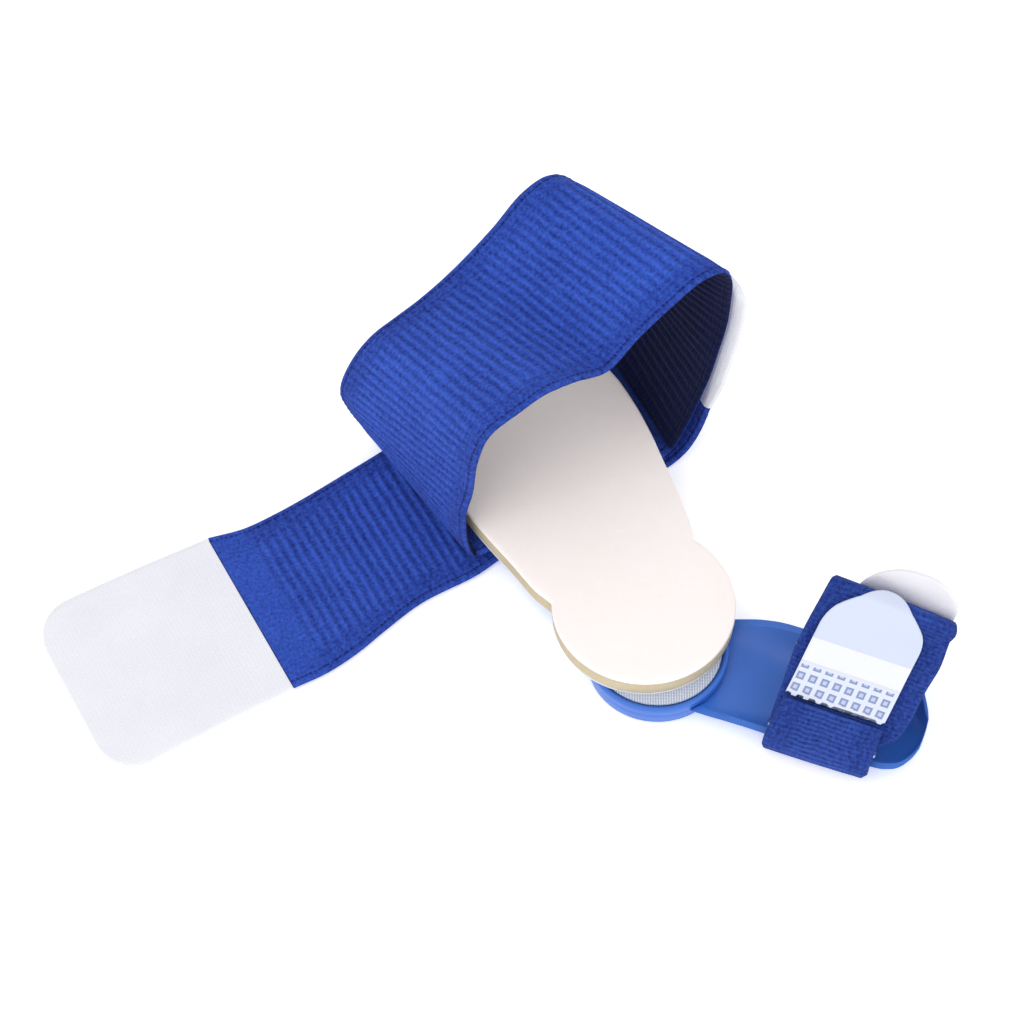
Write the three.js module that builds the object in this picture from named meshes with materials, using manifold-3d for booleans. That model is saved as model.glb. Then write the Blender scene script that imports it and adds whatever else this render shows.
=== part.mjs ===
// Hinged bunion corrector: a toe splint and a metatarsal splint turn on one hub, a felt-faced foam pad
// lies on the metatarsal splint, and two ribbed knit straps with hook tabs hold foot and toe.
// Units are millimetres, +Z is up and z = 0 is the surface that it lies on. The hinge axis is the Z axis.
// The metatarsal side is drawn along +Y of its own group and the toe side along +X of its own group.

import * as THREE from 'three';
import { mergeVertices } from 'three/addons/utils/BufferGeometryUtils.js';
import Module from 'manifold-3d';

const wasm = await Module();
wasm.setup();

// Driving sizes: pose
const METATARSAL_YAW = THREE.MathUtils.degToRad(28);
const TOE_YAW = THREE.MathUtils.degToRad(-20);

// Driving sizes: clearances
const SEAT_GAP = 0.3;
const LAYER_GAP = 0.25;
const TAB_GAP = 0.55;

// Driving sizes: hub
const HUB_RADIUS = 18.9;
const TOE_HUB_RADIUS = 18.3;
const TOE_HUB_HEIGHT = 4.9;
const HUB_FLOOR = 1.6;
const HUB_LIP_WIDTH = 1.6;
const HUB_LIP_HEIGHT = 1.2;
const RIVET_RADIUS = 3;
const RIVET_HEAD_RADIUS = 5.2;
const RIVET_HEAD_HEIGHT = 0.6;
const RIVET_BASE = 1.9;
const DISC_THICKNESS = 0.9;
const ROUND_SEGMENTS = 40;

// Driving sizes: metatarsal splint
const ARM_LENGTH = 109;
const ARM_WIDTH = 40;
const ARM_THICKNESS = 2.3;
const ARM_HEIGHT = 2.9;
const BAR_WIDTH = 3.2;
const SLOT_WIDTH = 3.8;
const SLOT_START = 46;
const SLOT_LENGTH = 58.5;

// Driving sizes: pad
const PAD_DISC_RADIUS = 24.1;
const PAD_DISC_ACROSS = 1.3;
const PAD_DISC_ALONG = 9.9;
const PAD_LENGTH = 114.5;
const PAD_WIDTH = 58;
const BACKING_THICKNESS = 0.5;
const FOAM_THICKNESS = 4.6;
const FELT_THICKNESS = 1.2;

// Driving sizes: knit band
const BAND_THICKNESS = 1.7;
const RIB_HEIGHT = 0.3;
const HEM_WIDTH = 5;

// Driving sizes: midfoot strap
const MIDFOOT_RIB_PITCH = 2.7;
const LOOP_SPAN = 80;
const LOOP_HEIGHT = 74;
const MIDFOOT_BAND = 51;
const MIDFOOT_START = 51.5;
const TAIL_LENGTH = 69.2;
const MIDFOOT_TAB_LENGTH = 52.4;
const MIDFOOT_TAB_THICKNESS = 1.6;
const CLOSED_TAB_LENGTH = 34;
const CLOSED_TAB_REACH = 1.6;

// Driving sizes: toe splint
const TOE_LENGTH = 72.8;
const TOE_WIDTH = 32;
const TOE_OFFSET = 1.6;
const TOE_WALL = 1.9;
const TOE_RIM_NEAR = 7;
const TOE_RIM_FAR = 9;
const TOE_WALL_POWER = 3.4;
const TOE_SLOT_START = 33.5;
const TOE_SLOT_LENGTH = 29.2;
const TOE_BAR_HEIGHT = 1.9;
const TOE_FOLD_BULGE = 2;

// Driving sizes: toe strap
const TOE_RIB_PITCH = 2.3;
const TOE_LOOP_HEIGHT = 35.4;
const TOE_TAB_WIDTH = 26.5;
const TOE_TAB_LENGTH = 33.4;
const TOE_TAB_START = 1.5;
const TOE_TAB_THICKNESS = 1.1;
const TOE_TAB_LEAN = 0.075;

// Heights of the stacked layers, from the surface up
const hubBase = TOE_HUB_HEIGHT + SEAT_GAP;
const hubDeck = hubBase + HUB_FLOOR;
const discBase = hubDeck + SEAT_GAP;
const lipTop = hubDeck + HUB_LIP_HEIGHT;
const backingBase = Math.max(lipTop, discBase + DISC_THICKNESS) + SEAT_GAP;
const foamBase = backingBase + BACKING_THICKNESS + LAYER_GAP;
const feltBase = foamBase + FOAM_THICKNESS + LAYER_GAP;

// Half thickness of a band over its ribs
const bandHalf = BAND_THICKNESS / 2 + RIB_HEIGHT;

// Loop of the midfoot strap as a short table: the near hem and the far hem at each fold or bend.
// across is a share of LOOP_SPAN from the arm's middle, along a share of MIDFOOT_BAND beyond MIDFOOT_START,
// and up a share of LOOP_HEIGHT.
const LOOP_FOLDS = [
  { at: 'left fold', near: { across: -0.345, along: -0.045, up: 0.062 }, far: { across: -0.42, along: 0.96, up: 0.072 } },
  { at: 'left foot', near: { across: -0.366, along: -0.022, up: 0.135 }, far: { across: -0.455, along: 0.947, up: 0.135 } },
  { at: 'left wall low', near: { across: -0.365, along: 0.0, up: 0.3 }, far: { across: -0.499, along: 0.951, up: 0.27 } },
  { at: 'left wall mid', near: { across: -0.339, along: 0.0, up: 0.43 }, far: { across: -0.518, along: 0.957, up: 0.378 } },
  { at: 'left wall top', near: { across: -0.319, along: 0.0, up: 0.61 }, far: { across: -0.463, along: 0.961, up: 0.52 } },
  { at: 'left shoulder', near: { across: -0.272, along: 0.0, up: 0.74 }, far: { across: -0.388, along: 0.965, up: 0.603 } },
  { at: 'roof left', near: { across: -0.161, along: 0.01, up: 0.792 }, far: { across: -0.3, along: 0.971, up: 0.643 } },
  { at: 'roof crown', near: { across: -0.062, along: 0.024, up: 0.817 }, far: { across: -0.219, along: 0.976, up: 0.678 } },
  { at: 'roof middle', near: { across: 0.056, along: 0.039, up: 0.796 }, far: { across: -0.13, along: 0.982, up: 0.73 } },
  { at: 'roof dent', near: { across: 0.175, along: 0.057, up: 0.754 }, far: { across: -0.044, along: 0.99, up: 0.792 } },
  { at: 'slope low', near: { across: 0.3, along: 0.082, up: 0.849 }, far: { across: 0.075, along: 1.01, up: 0.885 } },
  { at: 'slope high', near: { across: 0.425, along: 0.096, up: 0.935 }, far: { across: 0.192, along: 1.03, up: 0.996 } },
  { at: 'ridge', near: { across: 0.532, along: 0.104, up: 0.997 }, far: { across: 0.284, along: 1.04, up: 1.022 } },
  { at: 'ridge turn', near: { across: 0.614, along: 0.108, up: 0.988 }, far: { across: 0.354, along: 1.04, up: 0.962 } },
  { at: 'back top', near: { across: 0.648, along: 0.108, up: 0.914 }, far: { across: 0.398, along: 1.04, up: 0.86 } },
  { at: 'back bulge', near: { across: 0.65, along: 0.108, up: 0.79 }, far: { across: 0.44, along: 1.04, up: 0.71 } },
  { at: 'back middle', near: { across: 0.637, along: 0.096, up: 0.665 }, far: { across: 0.495, along: 1.035, up: 0.59 } },
  { at: 'back lean', near: { across: 0.6, along: 0.073, up: 0.538 }, far: { across: 0.545, along: 1.03, up: 0.485 } },
  { at: 'back low', near: { across: 0.566, along: 0.055, up: 0.426 }, far: { across: 0.57, along: 1.025, up: 0.37 } },
  { at: 'back foot', near: { across: 0.52, along: 0.041, up: 0.304 }, far: { across: 0.548, along: 1.018, up: 0.264 } },
  { at: 'right foot', near: { across: 0.462, along: 0.022, up: 0.183 }, far: { across: 0.488, along: 1.014, up: 0.168 } },
  { at: 'right fold', near: { across: 0.427, along: 0.014, up: 0.126 }, far: { across: 0.43, along: 1.01, up: 0.126 } },
];

// Outer layer on the right, from the joint with the closed tab down to the surface, in the same shares
const OUTER_FOLDS = [
  { at: 'tab joint', near: { across: 0.572, along: 0.037, up: 0.25 }, far: { across: 0.606, along: 1.01, up: 0.225 } },
  { at: 'outer foot', near: { across: 0.54, along: 0.03, up: 0.142 }, far: { across: 0.548, along: 1.01, up: 0.122 } },
  { at: 'outer fold', near: { across: 0.49, along: 0.02, up: 0.059 }, far: { across: 0.483, along: 1.01, up: 0.057 } },
];

// Open tail of the midfoot strap on the surface: reach is a share of TAIL_LENGTH out from the bar,
// and along a share of MIDFOOT_BAND beyond MIDFOOT_START for each hem
const TAIL_ROWS = [
  { at: 'leaves the bar', reach: 0.06, near: -0.09, far: 0.885 },
  { at: 'under the fold', reach: 0.16, near: -0.115, far: 0.835 },
  { at: 'narrow', reach: 0.4, near: -0.13, far: 0.78 },
  { at: 'bend', reach: 0.58, near: -0.19, far: 0.745 },
  { at: 'sway', reach: 0.72, near: -0.245, far: 0.725 },
  { at: 'widening', reach: 0.86, near: -0.277, far: 0.72 },
  { at: 'tab joint', reach: 1.0, near: -0.278, far: 0.755 },
];

// Outline of the pad behind its round end: along is a share of PAD_LENGTH from the round end,
// left and right are shares of PAD_WIDTH from the arm's middle
const PAD_EDGES = [
  { along: 0.325, left: -0.352, right: 0.407 },
  { along: 0.36, left: -0.376, right: 0.424 },
  { along: 0.45, left: -0.403, right: 0.459 },
  { along: 0.54, left: -0.434, right: 0.484 },
  { along: 0.62, left: -0.455, right: 0.507 },
  { along: 0.72, left: -0.468, right: 0.521 },
  { along: 0.82, left: -0.46, right: 0.508 },
  { along: 0.92, left: -0.39, right: 0.43 },
  { along: 0.97, left: -0.29, right: 0.33 },
];

// Sections of the metatarsal splint: along is a share of ARM_LENGTH, half a share of ARM_WIDTH,
// drop the share of the way from the hub's deck down to the arm's own height
const ARM_SECTIONS = [
  { along: 0.11, half: 0.3, drop: 0 },
  { along: 0.178, half: 0.4, drop: 0 },
  { along: 0.215, half: 0.45, drop: 0.3 },
  { along: 0.255, half: 0.48, drop: 0.75 },
  { along: 0.3, half: 0.5, drop: 1 },
  { along: 0.965, half: 0.5, drop: 1 },
  { along: 0.985, half: 0.45, drop: 1 },
  { along: 1, half: 0.36, drop: 1 },
];

// Sections of the toe splint: along is a share of TOE_LENGTH, near and far are shares of half TOE_WIDTH,
// rim a share of each rim's height, floor and lift the heights inside and under it as shares of a rim
const TOE_SECTIONS = [
  { along: 0.08, near: 0.86, far: 0.8, rim: 0.6, floor: 0.62, lift: 0 },
  { along: 0.19, near: 0.94, far: 0.84, rim: 0.78, floor: 0.62, lift: 0 },
  { along: 0.25, near: 0.97, far: 0.9, rim: 0.88, floor: 0.6, lift: 0 },
  { along: 0.32, near: 0.98, far: 0.98, rim: 0.95, floor: 0.5, lift: 0 },
  { along: 0.41, near: 0.99, far: 1.03, rim: 1, floor: 0.36, lift: 0 },
  { along: 0.52, near: 1.0, far: 1.03, rim: 1, floor: 0.3, lift: 0 },
  { along: 0.72, near: 1.0, far: 1.02, rim: 1, floor: 0.3, lift: 0 },
  { along: 0.87, near: 0.99, far: 1.01, rim: 1, floor: 0.3, lift: 0 },
  { along: 0.92, near: 0.94, far: 0.84, rim: 0.99, floor: 0.32, lift: 0.02 },
  { along: 0.955, near: 0.84, far: 0.56, rim: 0.97, floor: 0.4, lift: 0.08 },
  { along: 0.985, near: 0.62, far: 0.3, rim: 0.94, floor: 0.58, lift: 0.22 },
  { along: 1.0, near: 0.4, far: 0.12, rim: 0.92, floor: 0.76, lift: 0.42 },
];

// Section of the toe strap between its bars: across is a share of TOE_WIDTH, up a share of TOE_LOOP_HEIGHT,
// left and right place the two hems as shares of TOE_LENGTH, and drop lowers the tip-side hem
const TOE_LOOP_FOLDS = [
  { at: 'front foot', across: -0.35, up: 0.245, left: 0.47, right: 0.86, drop: 0 },
  { at: 'front low', across: -0.335, up: 0.31, left: 0.472, right: 0.885, drop: 0.005 },
  { at: 'front knee', across: -0.27, up: 0.365, left: 0.475, right: 0.92, drop: 0.04 },
  { at: 'front middle', across: -0.15, up: 0.435, left: 0.478, right: 0.945, drop: 0.045 },
  { at: 'front slope', across: 0.088, up: 0.622, left: 0.487, right: 0.972, drop: 0.045 },
  { at: 'front high', across: 0.256, up: 0.745, left: 0.502, right: 0.995, drop: 0.06 },
  { at: 'ridge front', across: 0.43, up: 0.885, left: 0.525, right: 1.0, drop: 0.12 },
  { at: 'ridge', across: 0.55, up: 0.985, left: 0.542, right: 1.006, drop: 0.15 },
  { at: 'ridge back', across: 0.603, up: 0.94, left: 0.545, right: 1.006, drop: 0.15 },
  { at: 'back high', across: 0.575, up: 0.79, left: 0.54, right: 1.01, drop: 0.1 },
  { at: 'back middle', across: 0.5, up: 0.565, left: 0.51, right: 0.96, drop: 0.03 },
  { at: 'back low', across: 0.415, up: 0.36, left: 0.48, right: 0.89, drop: 0 },
];

// Outer piece of the toe strap, from the joint with the front tab down to the near bar
const TOE_OUTER_FOLDS = [
  { at: 'tab joint', across: -0.277, up: 0.462, left: 0.5, right: 0.868, drop: 0.06 },
  { at: 'outer slope', across: -0.37, up: 0.4, left: 0.49, right: 0.866, drop: 0.035 },
  { at: 'outer knee', across: -0.46, up: 0.33, left: 0.48, right: 0.863, drop: 0.01 },
  { at: 'outer side', across: -0.54, up: 0.255, left: 0.472, right: 0.86, drop: 0 },
  { at: 'outer foot', across: -0.572, up: 0.19, left: 0.47, right: 0.858, drop: 0 },
];

// Back tab standing behind the back face, from its joint up to its round end
const BACK_TAB_LINE = [
  { across: 0.602, up: 0.455, drop: 0 },
  { across: 0.624, up: 0.62, drop: 0 },
  { across: 0.662, up: 0.77, drop: -0.02 },
  { across: 0.69, up: 0.96, drop: 0 },
  { across: 0.695, up: 1.2, drop: 0.02 },
];

// Materials, with colours as they show on the object
const plasticBlue = new THREE.MeshStandardMaterial({ color: 0x3a6fc4, roughness: 0.35, metalness: 0 });
const knitBlue = new THREE.MeshStandardMaterial({ color: 0x3d59b4, roughness: 0.95, metalness: 0 });
const hookWhite = new THREE.MeshStandardMaterial({ color: 0xeef0f6, roughness: 0.7, metalness: 0 });
const hookPale = new THREE.MeshStandardMaterial({ color: 0xe1e8f7, roughness: 0.45, metalness: 0 });
const hookGrey = new THREE.MeshStandardMaterial({ color: 0xdedce2, roughness: 0.8, metalness: 0 });
const foamTan = new THREE.MeshStandardMaterial({ color: 0xd6cab2, roughness: 0.95, metalness: 0 });
const feltPink = new THREE.MeshStandardMaterial({ color: 0xfdf3f2, roughness: 0.95, metalness: 0 });
const backingWhite = new THREE.MeshStandardMaterial({ color: 0xf2f2f4, roughness: 0.9, metalness: 0 });
const meshWhite = new THREE.MeshStandardMaterial({ color: 0xdce1ef, roughness: 0.9, metalness: 0 });
const rivetSteel = new THREE.MeshStandardMaterial({ color: 0xb8bcc2, roughness: 0.35, metalness: 1 });

// Closed body through a row of rings with the same number of points, capped at both ends
function loft(rings) {
  const size = rings[0].length;
  const positions = rings.flat().flatMap((p) => [p.x, p.y, p.z]);
  const index = [];
  for (let r = 0; r + 1 < rings.length; r += 1) {
    for (let k = 0; k < size; k += 1) {
      const a = r * size + k;
      const b = r * size + ((k + 1) % size);
      index.push(a, b, b + size, a, b + size, a + size);
    }
  }
  const last = (rings.length - 1) * size;
  for (const [i, j, k] of capTriangles(rings[0])) {
    index.push(i, k, j);
  }
  for (const [i, j, k] of capTriangles(rings[rings.length - 1])) {
    index.push(last + i, last + j, last + k);
  }
  const geometry = new THREE.BufferGeometry();
  geometry.setAttribute('position', new THREE.Float32BufferAttribute(positions, 3));
  geometry.setIndex(index);
  return outward(geometry);
}

// Triangles that close a flat ring, as seen along the ring's own normal
function capTriangles(ring) {
  const normal = new THREE.Vector3();
  for (let i = 0; i < ring.length; i += 1) {
    normal.add(new THREE.Vector3().crossVectors(ring[i], ring[(i + 1) % ring.length]));
  }
  normal.normalize();
  const side = new THREE.Vector3().subVectors(ring[Math.floor(ring.length / 2)], ring[0]);
  side.addScaledVector(normal, -side.dot(normal)).normalize();
  const rise = new THREE.Vector3().crossVectors(normal, side);
  const flat = ring.map((p) => new THREE.Vector2(p.dot(side), p.dot(rise)));
  return THREE.ShapeUtils.triangulateShape(flat, []);
}

// Turns a body's faces outward if its signed volume is negative
function outward(geometry) {
  const p = geometry.getAttribute('position');
  const index = Array.from(geometry.getIndex().array);
  const corner = (i) => new THREE.Vector3().fromBufferAttribute(p, index[i]);
  let volume = 0;
  for (let i = 0; i < index.length; i += 3) {
    volume += corner(i).dot(corner(i + 1).cross(corner(i + 2)));
  }
  if (volume < 0) {
    for (let i = 0; i < index.length; i += 3) {
      [index[i + 1], index[i + 2]] = [index[i + 2], index[i + 1]];
    }
    geometry.setIndex(index);
  }
  geometry.computeVertexNormals();
  return geometry;
}

// Solid of a closed geometry for joining and cutting
function toSolid(geometry) {
  const bare = geometry.clone();
  bare.deleteAttribute('normal');
  bare.deleteAttribute('uv');
  const merged = outward(mergeVertices(bare.index ? bare : mergeVertices(bare), 1e-4));
  merged.deleteAttribute('normal');
  const mesh = new wasm.Mesh({
    numProp: 3,
    vertProperties: new Float32Array(merged.getAttribute('position').array),
    triVerts: new Uint32Array(merged.getIndex().array),
  });
  return new wasm.Manifold(mesh);
}

// Geometry of a solid
function toGeometry(solid) {
  const mesh = solid.getMesh();
  const geometry = new THREE.BufferGeometry();
  geometry.setAttribute('position', new THREE.Float32BufferAttribute(mesh.vertProperties, 3));
  geometry.setIndex(Array.from(mesh.triVerts));
  geometry.computeVertexNormals();
  return geometry;
}

// Turned body about Z through a closed profile of [radius, height] pairs
function turned(profile) {
  const points = [...profile, profile[0]].map(([radius, height]) => new THREE.Vector2(radius, height));
  const geometry = new THREE.LatheGeometry(points, ROUND_SEGMENTS);
  geometry.rotateX(Math.PI / 2);
  return geometry;
}

// Box between two corners
function block(low, high) {
  const size = new THREE.Vector3().subVectors(high, low);
  const geometry = new THREE.BoxGeometry(size.x, size.y, size.z);
  const middle = new THREE.Vector3().addVectors(low, high).multiplyScalar(0.5);
  geometry.translate(middle.x, middle.y, middle.z);
  return geometry;
}

// Even stations along a pair of hems: the hems are smooth curves through the rows, and the spacing
// is even along the line midway between them
function stationsAlong(rows, pitch) {
  const near = new THREE.CatmullRomCurve3(rows.map((row) => row.near));
  const far = new THREE.CatmullRomCurve3(rows.map((row) => row.far));
  const fine = rows.length * 24;
  const lengths = [0];
  let before = null;
  for (let i = 0; i <= fine; i += 1) {
    const middle = near.getPoint(i / fine).add(far.getPoint(i / fine)).multiplyScalar(0.5);
    if (before) {
      lengths.push(lengths[i - 1] + middle.distanceTo(before));
    }
    before = middle;
  }
  const total = lengths[fine];
  const count = Math.max(2, Math.round(total / pitch));
  const stations = [];
  let k = 0;
  for (let i = 0; i <= count; i += 1) {
    const wanted = (total * i) / count;
    while (k < fine - 1 && lengths[k + 1] < wanted) {
      k += 1;
    }
    const part = (wanted - lengths[k]) / (lengths[k + 1] - lengths[k]);
    const t = Math.min(1, (k + part) / fine);
    const ahead = Math.min(1, t + 1e-3);
    const behind = Math.max(0, t - 1e-3);
    stations.push({
      near: near.getPoint(t),
      far: far.getPoint(t),
      nearWay: near.getPoint(ahead).sub(near.getPoint(behind)).normalize(),
      farWay: far.getPoint(ahead).sub(far.getPoint(behind)).normalize(),
      reach: wanted,
      left: total - wanted,
    });
  }
  return stations;
}

// Band with ribs from hem to hem: every other station is a rib's crest, the ribs fade at the hems,
// and the last stretch of smooth millimetres has none
function ribbedBand(rows, pitch, smooth) {
  const stations = stationsAlong(rows, pitch / 2);
  const rings = stations.map((station, i) => {
    const ruling = new THREE.Vector3().subVectors(station.far, station.near);
    const width = ruling.length();
    ruling.normalize();
    const hem = HEM_WIDTH / width;
    const fade = Math.min(1, station.reach / pitch, Math.max(0, station.left - smooth) / pitch);
    const rib = i % 2 === 1 ? RIB_HEIGHT * fade : 0;
    const stops = [[0, 0], [hem, rib], [1 - hem, rib], [1, 0]];
    const side = (sign) => stops.map(([share, extra]) => {
      const way = new THREE.Vector3().lerpVectors(station.nearWay, station.farWay, share);
      const normal = new THREE.Vector3().crossVectors(way, ruling).normalize();
      const point = new THREE.Vector3().lerpVectors(station.near, station.far, share);
      return point.addScaledVector(normal, sign * (BAND_THICKNESS / 2 + extra));
    });
    return [...side(1), ...side(-1).reverse()];
  });
  return loft(rings);
}

// Thin tab along a line of hems with a rounded far corner at each side: shape gives, for a share of
// the tab's length from its joint, the share of the half width that is left
function tabSheet(rows, thickness, shape, steps) {
  const near = new THREE.CatmullRomCurve3(rows.map((row) => row.near));
  const far = new THREE.CatmullRomCurve3(rows.map((row) => row.far));
  const rings = [];
  for (const t of steps) {
    const a = near.getPoint(t);
    const b = far.getPoint(t);
    const ahead = Math.min(1, t + 1e-3);
    const behind = Math.max(0, t - 1e-3);
    const way = near.getPoint(ahead).sub(near.getPoint(behind));
    way.add(far.getPoint(ahead).sub(far.getPoint(behind))).normalize();
    const ruling = new THREE.Vector3().subVectors(b, a).normalize();
    const normal = new THREE.Vector3().crossVectors(way, ruling).normalize();
    const half = shape(t) / 2;
    const low = new THREE.Vector3().lerpVectors(a, b, 0.5 - half);
    const high = new THREE.Vector3().lerpVectors(a, b, 0.5 + half);
    const lift = normal.clone().multiplyScalar(thickness / 2);
    const middle = new THREE.Vector3().addVectors(low, high).multiplyScalar(0.5);
    rings.push([
      low.clone().add(lift), middle.clone().add(lift), high.clone().add(lift),
      high.clone().sub(lift), middle.clone().sub(lift), low.clone().sub(lift),
    ]);
  }
  return loft(rings);
}

// Share of the width left at a share t of a tab's length, with corners rounded over the last share end
function roundedEnd(t, end, least) {
  const into = Math.max(0, (t - (1 - end)) / end);
  return least + (1 - least) * Math.sqrt(Math.max(0, 1 - into * into));
}

// Steps along a tab: a few on the plain stretch and more where its end is rounded
function tabSteps(plain, end, count) {
  const steps = [];
  for (let i = 0; i < plain; i += 1) {
    steps.push(((1 - end) * i) / plain);
  }
  for (let i = 0; i <= count; i += 1) {
    steps.push(1 - end + end * Math.sin((Math.PI / 2) * (i / count)));
  }
  return steps;
}

// Rows of a sheet that lies on a band's face: even stations of the band moved off its middle along its
// own normal, with each hem of the sheet at a share of the band's width
function faceRows(stations, distance, place) {
  return stations.map((station, i) => {
    const ruling = new THREE.Vector3().subVectors(station.far, station.near).normalize();
    const [low, high] = place(station, i / (stations.length - 1));
    const at = (share) => {
      const way = new THREE.Vector3().lerpVectors(station.nearWay, station.farWay, share);
      const normal = new THREE.Vector3().crossVectors(way, ruling).normalize();
      const point = new THREE.Vector3().lerpVectors(station.near, station.far, share);
      return point.addScaledVector(normal, distance);
    };
    return { near: at(low), far: at(high) };
  });
}

// Hem point of the midfoot strap from its shares
function loopPoint({ across, along, up }) {
  return new THREE.Vector3(across * LOOP_SPAN, MIDFOOT_START + along * MIDFOOT_BAND, up * LOOP_HEIGHT);
}

// Turn of the midfoot strap round a slot's bar: side is -1 left or +1 right, rows run from over the bar
// to under it
const barEdge = ARM_WIDTH / 2 - BAR_WIDTH;
const barMiddle = ARM_HEIGHT + ARM_THICKNESS / 2;
const turnRadius = ARM_THICKNESS / 2 + SEAT_GAP + bandHalf;
function barTurn(side, near, far) {
  const centre = barEdge + SEAT_GAP;
  return [90, 55, 20, -20, -55, -90].map((degrees) => {
    const angle = THREE.MathUtils.degToRad(degrees);
    const across = side * (centre - turnRadius * Math.cos(angle));
    const up = barMiddle + turnRadius * Math.sin(angle);
    return {
      near: new THREE.Vector3(across, MIDFOOT_START + near * MIDFOOT_BAND, up),
      far: new THREE.Vector3(across, MIDFOOT_START + far * MIDFOOT_BAND, up),
    };
  });
}

// Level of a band that lies on the surface, and of one that lies over a bar
const floorLevel = bandHalf + 0.05;
const overBar = barMiddle + turnRadius;
const underBar = barMiddle - turnRadius;

// A straight row across the arm at one height
function levelRow(across, up, near, far) {
  return {
    near: new THREE.Vector3(across, MIDFOOT_START + near * MIDFOOT_BAND, up),
    far: new THREE.Vector3(across, MIDFOOT_START + far * MIDFOOT_BAND, up),
  };
}

// Rows of the midfoot strap, from the closed tab's joint over both bars to the open tab's joint
function midfootRows() {
  const pair = (row) => ({ near: loopPoint(row.near), far: loopPoint(row.far) });
  const halfArm = ARM_WIDTH / 2;
  const right = barTurn(1, 0.005, 1.005);
  const left = barTurn(-1, -0.07, 0.915);
  const tail = TAIL_ROWS.map((row) => levelRow(
    -(halfArm - BAR_WIDTH / 2) - row.reach * TAIL_LENGTH,
    floorLevel + (underBar - floorLevel) * Math.max(0, 1 - row.reach * 5),
    row.near,
    row.far,
  ));
  return [
    ...OUTER_FOLDS.map(pair),
    levelRow(halfArm * 1.68, floorLevel + 0.2, 0.01, 1.008),
    levelRow(halfArm * 1.3, underBar, 0.005, 1.005),
    ...right.reverse(),
    levelRow(halfArm * 1.2, overBar, 0.005, 1.005),
    levelRow(halfArm * 1.5, overBar + 0.1, 0.01, 1.008),
    ...LOOP_FOLDS.map(pair).reverse(),
    levelRow(-halfArm * 1.24, overBar - 1.1, -0.06, 0.94),
    levelRow(-halfArm * 1.02, overBar - 0.05, -0.068, 0.925),
    ...left,
    ...tail,
  ];
}

// Metatarsal splint: dished hub with a lip and a counterbored hole, and a flat arm with two slots
function metatarsalSplint() {
  const bore = RIVET_RADIUS + SEAT_GAP;
  const counterbore = RIVET_HEAD_RADIUS + SEAT_GAP;
  const seat = hubDeck - RIVET_HEAD_HEIGHT - SEAT_GAP;
  const lipInside = HUB_RADIUS - HUB_LIP_WIDTH;
  const hub = turned([
    [bore, hubBase],
    [HUB_RADIUS - 0.5, hubBase],
    [HUB_RADIUS, hubBase + 0.5],
    [HUB_RADIUS, lipTop - 0.6],
    [HUB_RADIUS - 0.35, lipTop - 0.12],
    [HUB_RADIUS - 0.8, lipTop],
    [lipInside + 0.25, lipTop - 0.25],
    [lipInside, hubDeck],
    [counterbore, hubDeck],
    [counterbore, seat],
    [bore, seat],
  ]);
  const rings = ARM_SECTIONS.map((row) => {
    const half = row.half * ARM_WIDTH;
    const along = row.along * ARM_LENGTH;
    const base = THREE.MathUtils.lerp(hubBase, ARM_HEIGHT, row.drop);
    const top = THREE.MathUtils.lerp(hubDeck - 0.05, ARM_HEIGHT + ARM_THICKNESS, row.drop);
    return [
      new THREE.Vector3(-half, along, base),
      new THREE.Vector3(half, along, base),
      new THREE.Vector3(half, along, top),
      new THREE.Vector3(-half, along, top),
    ];
  });
  let solid = toSolid(hub).add(toSolid(loft(rings)));
  for (const side of [-1, 1]) {
    const inner = side * (barEdge - SLOT_WIDTH);
    const outer = side * barEdge;
    const low = new THREE.Vector3(Math.min(inner, outer), SLOT_START, 0);
    const high = new THREE.Vector3(Math.max(inner, outer), SLOT_START + SLOT_LENGTH, ARM_HEIGHT + ARM_THICKNESS + 1);
    solid = solid.subtract(toSolid(block(low, high)));
  }
  return toGeometry(solid);
}

// Rivet that the two splints turn on
function hingeRivet() {
  const head = hubDeck - RIVET_HEAD_HEIGHT;
  return turned([
    [0, RIVET_BASE],
    [RIVET_RADIUS, RIVET_BASE],
    [RIVET_RADIUS, head],
    [RIVET_HEAD_RADIUS, head],
    [RIVET_HEAD_RADIUS, hubDeck - 0.05],
    [0, hubDeck - 0.05],
  ]);
}

// Hook disc in the dish of the hub
function hookDisc() {
  const radius = HUB_RADIUS - HUB_LIP_WIDTH - SEAT_GAP;
  const geometry = new THREE.CylinderGeometry(radius, radius, DISC_THICKNESS, ROUND_SEGMENTS);
  geometry.rotateX(Math.PI / 2);
  geometry.translate(0, 0, discBase + DISC_THICKNESS / 2);
  return geometry;
}

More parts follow.
